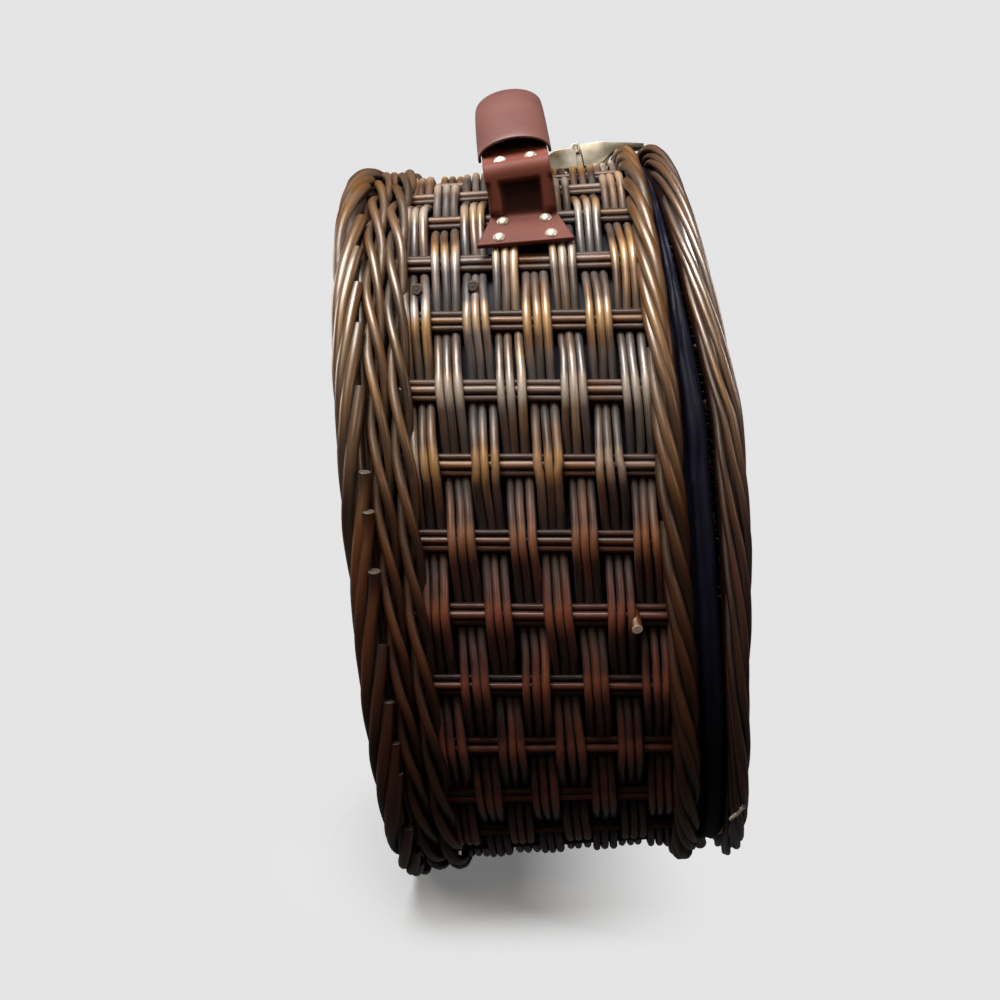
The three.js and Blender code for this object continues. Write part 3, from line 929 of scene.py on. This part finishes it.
# border rods: how many start round the case, how far each winds and runs, and the rings inside that close
# the rope and its join with the panel: proud of the outline, Y and radius
borders = {
    "backBorder": {
        "y": 0.0759, "middle": 0.0027, "halfWide": 0.0052, "halfThick": 0.0050, "rodRadius": 0.0027,
        "starts": 48, "stakesLong": 2.7, "fromAngle": -0.95, "toAngle": 2.5, "steps": 22, "tuck": 0.0008,
        "shift": 0.0085, "kicked": (-1.9, 0.4),   # stakes up the wall where cut ends turn outward
        "body": "basket", "node": "back_border", "willow": "borderWillow",
        "rings": [(0.0027, 0.0759, 0.0046), (-0.0002, 0.0717, 0.0030), (-0.0050, 0.0722, 0.0041)],
    },
    "rim": {
        "y": -0.0502, "middle": 0.0028, "halfWide": 0.0040, "halfThick": 0.0053, "rodRadius": 0.0024,
        "starts": 50, "stakesLong": 2.75, "fromAngle": 2.3, "toAngle": -2.8, "steps": 24, "tuck": 0.0006,
        "shift": 0.0, "kicked": (0.0, 0.0),
        "body": "basket", "node": "body_rim", "willow": "borderWillow",
        "rings": [(0.0028, -0.0502, 0.0032)],
    },
    "lidBorder": {
        "y": -0.0748, "middle": 0.0028, "halfWide": 0.0047, "halfThick": 0.0056, "rodRadius": 0.0016,
        "starts": 42, "stakesLong": 4.4, "fromAngle": 2.2, "toAngle": -2.6, "steps": 30, "tuck": 0.0008,
        "shift": 0.0, "kicked": (0.0, 0.0),
        "body": "lid", "node": "lid_border", "willow": "lidWillow",
        "rings": [(0.0028, -0.0746, 0.0036), (-0.0036, -0.0730, 0.0047)],
    },
}
borderForm = {
    "startSpread": 0.6,
    "reachSpread": 0.1,
    "swingSpread": 0.25,
    "radiusSpread": 0.12,
    "kick": (0.0034, 0.00153, 0.00051),   # how far a kicked end's first points turn outward
    "skin": (9, 0.0010, 40.0, 0.18, 8),
}


def borderRods(rope):
    rods = [ringRod(*ring) for ring in rope["rings"]]
    low, high = rope["kicked"]
    shares = [i / rope["steps"] for i in range(rope["steps"] + 1)]
    for start in range(rope["starts"]):
        order = start + jitter(borderForm["startSpread"])
        top = firstStake + rope["shift"] + order * girth / rope["starts"]
        reach = rope["stakesLong"] * stakePitch * (1 + jitter(borderForm["reachSpread"]))
        swing = rope["fromAngle"] + jitter(borderForm["swingSpread"])
        wind = rope["toAngle"] - rope["fromAngle"]
        walk = [(top - reach * share, swing + wind * share, -rope["tuck"] * share) for share in shares]
        rod = windRod(rope, walk)
        stakesUp = ((top - firstStake) / girth + 0.5) % 1 - 0.5
        if low < stakesUp * shape["stakes"] < high:
            away = wallFrame(top)[1]
            for i, kick in enumerate(borderForm["kick"]):
                rod["points"][i] = rod["points"][i] + Vector((away.x, 0.0, away.y)) * kick
        rod["radius"] = rope["rodRadius"] * (1 + jitter(borderForm["radiusSpread"]))
        rod["shade"] = dice.random()
        rods.append(rod)
    return rods


cutEnds = []   # rod ends that show their wood


def addCutEnd(body, tip, inner, radius, pale=False):
    aim = (tip - inner).normalized()
    cutEnds.append({"body": body, "at": tip, "aim": aim, "radius": radius, "pale": pale})


for name, rope in borders.items():
    rods = borderRods(rope)
    piece = growPiece(name + "Rods", rodGuide(name, rods), rodsAlongEdges,
                      skinOf(borderForm["skin"], rope["willow"]))
    place(piece, rope["body"], "border_willow", rope["node"])
    for rod in rods:
        if "closed" not in rod:
            addCutEnd(rope["body"], *rod["points"][:2], rod["radius"])


# ends of single rods that stand out of the weave, and a split on the lid: radius, whether the end is pale,
# and the path by stakes up the wall, proud of the outline and Y

looseRods = {
    "bodyLooseRods": {"body": "basket", "willow": "borderWillow", "rods": [
        (0.0022, False, [(2.72, -0.0045, 0.0474), (2.60, -0.0015, 0.0475), (2.52, 0.0024, 0.0476)]),
        (0.0022, False, [(2.70, -0.0045, 0.0240), (2.58, -0.0015, 0.0241), (2.50, 0.0024, 0.0242)]),
        (0.0024, True, [(-2.02, -0.0040, -0.0316), (-2.12, 0.0010, -0.0319), (-2.20, 0.0062, -0.0322)]),
    ]},
    "lidSplit": {"body": "lid", "willow": "splitWillow", "rods": [
        (0.0009, False, [(-5.34, 0.0080, -0.0692), (-5.16, 0.0092, -0.0728), (-4.98, 0.0094, -0.0766)]),
    ]},
}
looseForm = {"shade": 0.9, "skin": (9, 0.0, 45.0, 0.05, 2)}

for name, loose in looseRods.items():
    rods = []
    for radius, pale, path in loose["rods"]:
        points = [wallPoint(firstStake + up * stakePitch, proud, y) for up, proud, y in path]
        rods.append({"points": points, "radius": radius, "shade": looseForm["shade"]})
        addCutEnd(loose["body"], points[-1], points[-2], radius, pale)
    piece = growPiece(name, rodGuide(name, rods), rodsAlongEdges,
                      skinOf(looseForm["skin"], loose["willow"]))
    place(piece, loose["body"], "border_willow")


# cut ends

cutForm = {
    "sides": 12,
    "rings": [(0.94, 0.0), (0.88, 0.05), (0.45, 0.02), (0.12, 0.06)],   # radius and rise, in rod radii
    "pieces": {   # body, and whether the ends are pale
        "basketCutEnds": ("basket", False), "lidCutEnds": ("lid", False), "knobEnd": ("basket", True)},
}


def cutFacePart():
    sides, rings = cutForm["sides"], cutForm["rings"]
    last = (len(rings) - 1) * sides
    caps = [tuple(range(last, last + sides)), tuple(reversed(range(sides)))]
    faces = caps + gridFaces(len(rings), sides, True)
    return addObject("cutFace", newMesh("cutFace", ringSpots(rings, sides), faces=faces))


def aimedPoints(name, entries):
    return newMesh(name, [entry["at"] for entry in entries],
                   aim=[entry["aim"] for entry in entries], size=[entry["radius"] for entry in entries])


cutFace = cutFacePart()
for name, (body, pale) in cutForm["pieces"].items():
    ends = [entry for entry in cutEnds if entry["body"] == body and entry["pale"] == pale]
    piece = growPiece(name, aimedPoints(name, ends), facesOnPoints, {
        "Part": cutFace, "Material": willow["splitWillow" if pale else "cutWillow"]})
    place(piece, body, "border_willow")
bpy.data.objects.remove(cutFace)


# woven back and lid

panelWeave = {
    "stakePitch": 0.031,
    "weaverPitch": 0.0125,
    "rodPitch": 0.0039,
    "firstRow": 0.7,         # rows up from the foot
    "lift": 0.0029,
    "rodRadius": 0.0018,
    "radiusSpread": 0.1,
    "stakeRadius": 0.0017,
    "stakeGap": 0.0035,
    "stakeSteps": 16,
    "inset": 0.0030,         # rods end this far inside the outline
    "endFade": 0.012,        # where they settle into the border
    "shortest": 0.062,       # half a row's length
    "stepsPerStake": 6,
    "skin": (7, 0.0010, 50.0, 0.14, 14),
    "panels": {
        "backPanel": {"y": 0.0731, "body": "basket", "node": "back_panel"},
        "lidPanel": {"y": -0.0737, "body": "lid", "node": "lid_panel"},
    },
}


def halfChord(at, ownHalf, otherHalf):
    share = min(abs(at) / (ownHalf - panelWeave["inset"]), 1.0)
    return (otherHalf - panelWeave["inset"]) * (1 - share ** shape["power"]) ** (1 / shape["power"])


def panelPoint(x, y, height):
    return drawIn(Vector((x, y, height + shape["centreHeight"])))


def panelWeaver(y, row, height, half):
    pitch = panelWeave["stakePitch"]
    count = int(2 * half / pitch * panelWeave["stepsPerStake"])
    points = []
    for i in range(count + 1):
        x = -half + 2 * half * i / count
        wave = math.cos(math.pi * (x / pitch + row)) * clamp((half - abs(x)) / panelWeave["endFade"])
        points.append(panelPoint(x, y + panelWeave["lift"] * wave, height))
    return {"points": points, "radius": panelWeave["rodRadius"] * (1 + jitter(panelWeave["radiusSpread"])),
            "shade": dice.random(), "outward": [(0.0, 1.0, 0.0)] * len(points)}


def panelRods(y):
    rods = []
    foot = shape["footDepth"] - panelWeave["inset"]
    for row in range(int((shape["halfHeight"] + foot) / panelWeave["weaverPitch"])):
        for twin in (-1, 0, 1):
            height = (row + panelWeave["firstRow"]) * panelWeave["weaverPitch"] - foot
            height += twin * panelWeave["rodPitch"]
            half = halfChord(height, shape["halfHeight"], shape["halfWidth"])
            if half >= panelWeave["shortest"]:
                rods.append(panelWeaver(y, row, height, half))
    each = int(shape["halfWidth"] / panelWeave["stakePitch"])
    steps = panelWeave["stakeSteps"]
    for stake in range(-each, each + 1):
        for twin in (-0.5, 0.5):
            x = stake * panelWeave["stakePitch"] + twin * panelWeave["stakeGap"]
            top = halfChord(x, shape["halfWidth"], shape["halfHeight"])
            low = -min(top, foot)
            points = [panelPoint(x, y, low + (top - low) * i / steps) for i in range(steps + 1)]
            rods.append({"points": points, "radius": panelWeave["stakeRadius"], "shade": dice.random()})
    return rods


for name, panel in panelWeave["panels"].items():
    piece = growPiece(name + "Rods", rodGuide(name, panelRods(panel["y"])), rodsAlongEdges,
                      skinOf(panelWeave["skin"], "weaveWillow"))
    place(piece, panel["body"], "woven_willow", panel["node"])
print("woven and twisted pieces done")


# materials of the fittings and the cloth

fittingColumns = ("dark", "light", "cloudScale", "grainScale", "roughness", "roughSpread",
                  "bump", "bumpDepth", "metal", "shine")
fittingLooks = {
    "gripLeather": ((0.058, 0.0182, 0.0134), (0.087, 0.0310, 0.0237),
                    28.0, 900.0, 0.50, 0.12, 0.12, 0.0003, 0.0, 0.35),
    "strapLeather": ((0.075, 0.0185, 0.0115), (0.110, 0.0310, 0.0200),
                     40.0, 900.0, 0.60, 0.12, 0.12, 0.0003, 0.0, 0.12),
    "paleBrass": ((0.26, 0.185, 0.095), (1.0, 0.94, 0.78),
                  70.0, 500.0, 0.30, 0.14, 0.08, 0.0003, 0.72, 0.5),
    "navyCloth": ((0.0014, 0.0013, 0.0034), (0.0040, 0.0038, 0.0115),
                  40.0, 1500.0, 0.55, 0.2, 0.4, 0.0004, 0.0, 0.12),
    "hingeSteel": ((0.25, 0.24, 0.23), (0.36, 0.35, 0.34),
                   60.0, 700.0, 0.4, 0.15, 0.1, 0.0003, 1.0, 0.5),
}
# how dark the painted shade in recesses is, as a share of the dark colour
fittingDetail = {"cloud": 4.0, "grain": 3.0, "grainRough": 0.6, "lightFrom": (0.3, 0.7), "paintedShadeDark": 0.2}


def grainGroup():  # clouded colour with a fine grain, and painted shade from an attribute: in the strap's recesses and on its foot, and a painted dark reflection on the hasp's tip
    tree, given, done = newTree(
        "Shader", "fittingGrain",
        {"Dark": "Color", "Light": "Color", "Sunken": "Color", "Cloud Scale": "Float",
         "Grain Scale": "Float", "Roughness": "Float", "Rough Spread": "Float"},
        {"Color": "Color", "Roughness": "Float", "Height": "Float"})
    spot = objectSpot(tree)
    cloud = cloudOf(spot, given["Cloud Scale"], fittingDetail["cloud"])
    fine = cloudOf(spot, given["Grain Scale"], fittingDetail["grain"], fittingDetail["grainRough"])
    color = mixColor(ramp(cloud, *fittingDetail["lightFrom"], kind="LINEAR"), given["Dark"], given["Light"])
    feed(done, {
        "Color": mixColor(attributeOf(tree, "recess"), color, given["Sunken"]),
        "Roughness": (fine - 0.5) * given["Rough Spread"] + given["Roughness"],
        "Height": fine})
    return tree


grain = grainGroup()


def fittingMaterial(name):
    look = dict(zip(fittingColumns, fittingLooks[name]))
    material, tree, shader = newMaterial(name)
    # colour of the painted shade
    paintedShadeColor = [fittingDetail["paintedShadeDark"] * value for value in look["dark"]]
    made = placeGroup(tree, grain, {
        "Dark": (*look["dark"], 1), "Light": (*look["light"], 1), "Sunken": (*paintedShadeColor, 1),
        "Cloud Scale": look["cloudScale"], "Grain Scale": look["grainScale"],
        "Roughness": look["roughness"], "Rough Spread": look["roughSpread"]})
    feed(shader, {
        "Base Color": made["Color"],
        "Roughness": made["Roughness"],
        "Normal": bumpOf(made["Height"], look["bump"], look["bumpDepth"]),
        "Metallic": look["metal"],
        "Specular IOR Level": look["shine"]})
    return material


fittings = {name: fittingMaterial(name) for name in fittingLooks}


# lining: one cloth cup with a soft hem in the gap between rim and lid

cloth = {
    "around": 240,
    "thickness": 0.0011,
    "hem": [   # proud of the outline, and Y
        (-0.0022, -0.0552), (-0.0035, -0.0583), (-0.0005, -0.0584), (0.0008, -0.0592), (0.0010, -0.0606),
        (0.0003, -0.0620), (0.0006, -0.0634), (0.0008, -0.0645), (-0.0002, -0.0654), (-0.0025, -0.0658),
        (-0.0060, -0.0656), (-0.0090, -0.0644)],
    "wallDepth": -0.0093,
    "wallFront": -0.0600,
    "floorY": 0.0672,
    "seamDepth": -0.0052,    # the floor's seam stands out to the weave
    "seamRise": 0.0030,
    "wallSteps": 16,
    "floorSteps": 9,
    "wrinkles": [(24.0, 260.0, 1.3, 0.00132), (75.0, 420.0, 7.9, 0.00088)],   # along, across, seed, height
    "wrinkleLimit": 0.0008,
    "sharp": 1.2,
    "hemCloth": 0.022,       # cloth in the hem's folds
    "floorShare": 3.55,      # of half width times half height
}


def clothWrinkle(length, y):
    rise = sum(height * noise.noise(Vector((length * along, y * across, seed)))
               for along, across, seed, height in cloth["wrinkles"])
    return min(rise, cloth["wrinkleLimit"])


def liningMesh():
    around, floorY = cloth["around"], cloth["floorY"]
    rows = list(cloth["hem"])
    wallLength = floorY - cloth["seamRise"] - cloth["wallFront"]
    for i in range(cloth["wallSteps"] + 1):
        rows.append((cloth["wallDepth"], cloth["wallFront"] + wallLength * i / cloth["wallSteps"]))
    rows.append((cloth["seamDepth"], floorY))
    lengths = [girth * i / around for i in range(around)]
    spots = [wallPoint(length, proud + clothWrinkle(length, y), y)
             for proud, y in rows for length in lengths]
    edge = spots[-around:]
    centre = Vector((0.0, floorY, shape["centreHeight"]))
    for ring in range(1, cloth["floorSteps"]):
        spots += [centre.lerp(spot, 1 - ring / cloth["floorSteps"]) for spot in edge]
    faces = gridFaces(len(spots) // around, around, True)
    faces += fanFaces(len(spots) - around, around, len(spots))
    return newMesh("liningCloth", spots + [centre], faces=faces)


lining = meshPiece("liningCloth", liningMesh(), fittings["navyCloth"], [
    ("SOLIDIFY", {"thickness": cloth["thickness"], "offset": 0.0})], cloth["sharp"])
place(lining, "basket", "navy_cloth", "lining")
cupDepth = cloth["floorY"] - cloth["wallFront"] + cloth["hemCloth"]
clothArea = girth * cupDepth + cloth["floorShare"] * shape["halfWidth"] * shape["halfHeight"]


# handle: leather grip on an arch, and a folded strap at each end

handle = {
    "middleY": 0.00095,
    "lean": 0.075,           # back from upright, above the straps' feet
    "gripHalfWidth": 0.0159,
    "gripRise": 0.0100,
    "gripWall": 0.0013,
    "gripSkirt": 0.0015,
    "archRadius": 0.218,
    "halfSpan": 0.120,
    "crown": 0.2011,
    "sectionSteps": 20,
    "archSteps": 60,
    "thickness": 0.0022,
    "halfWidth": 0.0142,
    "footHalfWidth": 0.0206,
    "footShoulder": 0.0182,
    "footLength": 0.018,
    "shoulderShare": 0.25,   # of the foot's length
    "footHeight": 0.130,
    "footProud": 0.0046,     # middle of the foot's leather, from the outline
    "fold": (-0.1305, 0.160),
    "flangeEnd": -0.098,
    "flangeLift": 0.0015,
    "foldRadius": 0.0022,
    "foldSteps": 6,
    "runSteps": 16,
    "acrossSteps": 40,
    "ribRise": 0.0030,
    "ribFrom": (0.52, 0.66),        # shares of the half width where the raised sides begin
    "ribFall": (0.8, 1.0, 0.45),    # and where they fall, and how far
    "riserFrom": (-0.002, 0.004),   # from the foot's top
    "riserTo": (-0.0005, 0.003),    # from the fold
    "bandFrom": (-0.0065, -0.0045),   # raised band under the fold
    # painted shade on the foot, up to its top
    "footPaintedShade": 0.3,
    "footPaintedShadeTo": (-0.003, 0.001),
    "sharp": 0.9,
}
roundEdges = ("BEVEL", {"width": 0.00045, "segments": 2, "limit_method": "ANGLE", "angle_limit": 0.9})
archLow = handle["crown"] - handle["archRadius"]


def strapLine():
    rise = handle["footHeight"] / shape["halfHeight"]
    power = shape["power"]
    across = (1 - rise ** power) ** (1 / power)
    away = Vector((-across ** (power - 1) / shape["halfWidth"], rise ** (power - 1) / shape["halfHeight"]))
    away.normalize()
    middle = Vector((-shape["halfWidth"] * across, handle["footHeight"])) + away * handle["footProud"]
    half = Vector((away.y, -away.x)) * (handle["footLength"] / 2)
    radius = handle["archRadius"] + handle["flangeLift"]
    flangeZ = archLow + math.sqrt(radius ** 2 - handle["flangeEnd"] ** 2)
    return [middle - half, middle + half, Vector(handle["fold"]), Vector((handle["flangeEnd"], flangeZ))]


strapCorners = strapLine()
footLow, footTop, foldHeight = [corner.y for corner in strapCorners[:3]]


def onHandle(x, y, z, turned=False):  # leans a point back and puts it on the case
    if turned:
        x, y = -x, -y
    rise = z - footTop
    angle = handle["lean"] * smooth(footTop, foldHeight, z)
    leanedY = y * math.cos(angle) + rise * math.sin(angle)
    leanedZ = footTop + rise * math.cos(angle) - y * math.sin(angle)
    return Vector((x, leanedY + handle["middleY"], leanedZ + shape["centreHeight"]))


def gripSection():
    section = []
    for wall in (0.0, handle["gripWall"]):
        half = handle["gripHalfWidth"] - wall
        rise = handle["gripRise"] - wall - handle["gripSkirt"]
        side = [(0.0, -half)]
        for i in range(handle["sectionSteps"] + 1):
            turn = math.pi * i / handle["sectionSteps"]
            side.append((handle["gripSkirt"] + rise * math.sin(turn), -half * math.cos(turn)))
        side.append((0.0, half))
        section += reversed(side) if wall else side
    return section


def gripMesh():
    section = gripSection()
    count, steps = len(section), handle["archSteps"]
    endTurn = math.asin(handle["halfSpan"] / handle["archRadius"])
    spots = []
    for step in range(steps + 1):
        turn = endTurn * (2 * step / steps - 1)
        for rise, y in section:
            radius = handle["archRadius"] + rise
            spots.append(onHandle(radius * math.sin(turn), y, archLow + radius * math.cos(turn)))
    faces = gridFaces(steps + 1, count, True)
    for first in (0, steps * count):
        for i in range(count // 2 - 1):
            j = count - 1 - i
            faces.append((first + i, first + i + 1, first + j - 1, first + j))
    return newMesh("leatherGrip", spots, faces=faces)


grip = meshPiece("leatherGrip", gripMesh(), fittings["gripLeather"], [roundEdges], handle["sharp"])
place(grip, "basket", "red_leather", "handle_grip")


def strapPath():  # the strap's middle line with rounded folds
    path = []
    radius, runSteps, foldSteps = handle["foldRadius"], handle["runSteps"], handle["foldSteps"]
    last = strapCorners[0]
    for corner, after in zip(strapCorners[1:], strapCorners[2:]):
        stop = corner - (corner - last).normalized() * radius
        onward = corner + (after - corner).normalized() * radius
        path += [last.lerp(stop, i / runSteps) for i in range(runSteps)]
        for share in [i / foldSteps for i in range(foldSteps)]:
            path.append(stop * (1 - share) ** 2 + corner * 2 * share * (1 - share) + onward * share ** 2)
        last = onward
    return path + [last.lerp(strapCorners[-1], i / runSteps) for i in range(runSteps + 1)]


def strapHalfWidth(height):
    shoulder = footLow + handle["footLength"] * handle["shoulderShare"]
    if height < shoulder:
        share = clamp((height - footLow) / (shoulder - footLow))
        return handle["footHalfWidth"] + (handle["footShoulder"] - handle["footHalfWidth"]) * share
    share = clamp((height - shoulder) / (footTop - shoulder))
    return handle["footShoulder"] + (handle["halfWidth"] - handle["footShoulder"]) * share


def ribHeight(share):
    low, high, fall = handle["ribFall"]
    return smooth(*handle["ribFrom"], share) * (1 - fall * smooth(low, high, share))


def strapMesh(name, turned):
    path = strapPath()
    rows, count = len(path), handle["acrossSteps"] + 1
    spots, recess = [], []
    for side in (1, -1):
        for i, at in enumerate(path):
            run = (path[min(i + 1, rows - 1)] - path[max(i - 1, 0)]).normalized()
            away = Vector((-run.y, run.x))
            aboveFoot, aboveFold = at.y - footTop, at.y - foldHeight
            raised = smooth(*handle["riserFrom"], aboveFoot) * (1 - smooth(*handle["riserTo"], aboveFold))
            band = smooth(*handle["bandFrom"], aboveFold)
            footShade = handle["footPaintedShade"] * (1 - smooth(*handle["footPaintedShadeTo"], aboveFoot))
            for k in range(count):
                across = 2 * k / (count - 1) - 1
                rib = max(ribHeight(abs(across)), band)
                lift = handle["thickness"] / 2 * side
                if side == 1:
                    lift += handle["ribRise"] * rib * raised
                # painted shade in the recess between the raised sides and band, and on the foot
                recess.append(max(raised * (1 - rib), footShade) if side == 1 else 0.0)
                spot = at + away * lift
                spots.append(onHandle(spot.x, across * strapHalfWidth(at.y), spot.y, turned))
    under = rows * count
    faces = gridFaces(rows, count, False)
    faces += [tuple(under + corner for corner in reversed(face)) for face in faces]
    edges = [(row * count + k, (row + 1) * count + k) for row in range(rows - 1) for k in (0, count - 1)]
    edges += [(first + k, first + k + 1) for first in (0, under - count) for k in range(count - 1)]
    faces += [(a, b, under + b, under + a) for a, b in edges]
    return newMesh(name, spots, faces=faces, recess=recess)


for side, turned in (("left", False), ("right", True)):
    name = side + "Strap"
    strap = meshPiece(name, strapMesh(name, turned), fittings["strapLeather"], [roundEdges], handle["sharp"])
    place(strap, "basket", "red_leather", "handle_strap_" + side)


# rivets

rivetForm = {
    "radius": 0.0027,
    "rows": [   # run, share along, spread
        ("foot", 0.21, 0.0110), ("foot", 0.80, 0.0091), ("flange", 0.17, 0.0066)],
    "profile": [(1.0, 0.0), (1.0, 0.10), (0.93, 0.24), (0.78, 0.40), (0.55, 0.55), (0.28, 0.65)],
    "crown": 0.69,
    "sides": 20,
    "sink": 0.0001,
    "probe": 0.001,          # a step outward that finds the aim
    "sharp": 0.7,
}


def rivetPart():
    sides = rivetForm["sides"]
    spots = ringSpots(rivetForm["profile"], sides)
    faces = gridFaces(len(rivetForm["profile"]), sides, True)
    faces += fanFaces(len(spots) - sides, sides, len(spots))
    faces.append(tuple(reversed(range(sides))))
    mesh = newMesh("rivetPart", spots + [(0.0, 0.0, rivetForm["crown"])], faces=faces)
    return meshPiece("rivetPart", mesh, fittings["paleBrass"], [], rivetForm["sharp"])


def rivetSeats():
    runs = {"foot": strapCorners[:2], "flange": strapCorners[2:]}
    seats = []
    for turned in (False, True):
        for run, share, spread in rivetForm["rows"]:
            start, end = runs[run]
            along = (end - start).normalized()
            away = Vector((-along.y, along.x))
            at = start.lerp(end, share) + away * (handle["thickness"] / 2 - rivetForm["sink"])
            out = at + away * rivetForm["probe"]
            for y in (-spread, spread):
                foot = onHandle(at.x, y, at.y, turned)
                tip = onHandle(out.x, y, out.y, turned)
                seats.append({"at": foot, "aim": (tip - foot).normalized(), "radius": rivetForm["radius"]})
    return seats


rivet = rivetPart()
rivets = growPiece("handleRivets", aimedPoints("rivetSeats", rivetSeats()), facesOnPoints, {
    "Part": rivet, "Material": fittings["paleBrass"]})
perStrap = 2 * len(rivetForm["rows"])
rivetNodes = ["handle_rivet_%s_%d" % (side, i + 1) for side in ("left", "right") for i in range(perStrap)]
place(rivets, "basket", "brass", *rivetNodes)
bpy.data.objects.remove(rivet)


# brass hasp with its edges eased

hasp = {
    "halfWidth": 0.0066,
    "ease": {"width": 0.0006, "segments": 3, "limit_method": "ANGLE", "angle_limit": 0.6},
    "sharp": 0.6,
    "merge": 1e-6,
    "flat": 0.02,
    "paintedTipReflection": 0.9,                    # painted dark reflection: how dark the tongue's tip is
    "paintedTipReflectionFrom": (0.038, 0.049),     # in -Y
    "soles": {   # side views in Y and Z: the base's plate up to the tongue's heel, and the tongue's saddle
        "clasp_base": [(-0.0230, 0.3468), (-0.0298, 0.3468), (-0.0289, 0.3531), (-0.0230, 0.3531)],
        "clasp_tongue": [(-0.0360, 0.3472), (-0.0360, 0.34675), (-0.0422, 0.3469), (-0.0432, 0.3496),
                         (-0.0442, 0.3513), (-0.0454, 0.3524), (-0.0460, 0.3534), (-0.0410, 0.3515)],
    },
}


def addSole(work, outline):
    left, right = [[work.verts.new((x * hasp["halfWidth"], y, z)) for y, z in outline] for x in (-1, 1)]
    work.faces.new(left)
    work.faces.new(reversed(right))
    for i in range(len(outline)):
        j = (i + 1) % len(outline)
        work.faces.new((left[j], left[i], right[i], right[j]))


def easedCopy(node, name):
    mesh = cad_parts[node].data.copy()
    mesh.materials.clear()
    mesh.materials.append(fittings["paleBrass"])
    work = bmesh.new()
    work.from_mesh(mesh)
    addSole(work, hasp["soles"][node])
    bmesh.ops.remove_doubles(work, verts=work.verts, dist=hasp["merge"])
    bmesh.ops.dissolve_limit(work, angle_limit=hasp["flat"], verts=work.verts, edges=work.edges)
    work.to_mesh(mesh)
    work.free()
    piece = settle(addObject(name, mesh), [("BEVEL", hasp["ease"])], hasp["sharp"])
    # painted dark reflection, darkest at the tongue's tip
    tips = [smooth(*hasp["paintedTipReflectionFrom"], -vertex.co.y) for vertex in piece.data.vertices]
    setAttribute(piece.data, "recess", [hasp["paintedTipReflection"] * tip for tip in tips])
    return piece


for node, name, body in (("clasp_base", "haspBase", "basket"), ("clasp_tongue", "haspTongue", "clasp")):
    place(easedCopy(node, name), body, "brass", node)

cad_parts["clasp_pin"].data.materials[0] = fittings["paleBrass"]
for node in ("hinge_pin", "hinge_leaf_body", "hinge_leaf_lid"):
    for side in ("left", "right"):
        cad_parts[node + "_" + side].data.materials[0] = fittings["hingeSteel"]
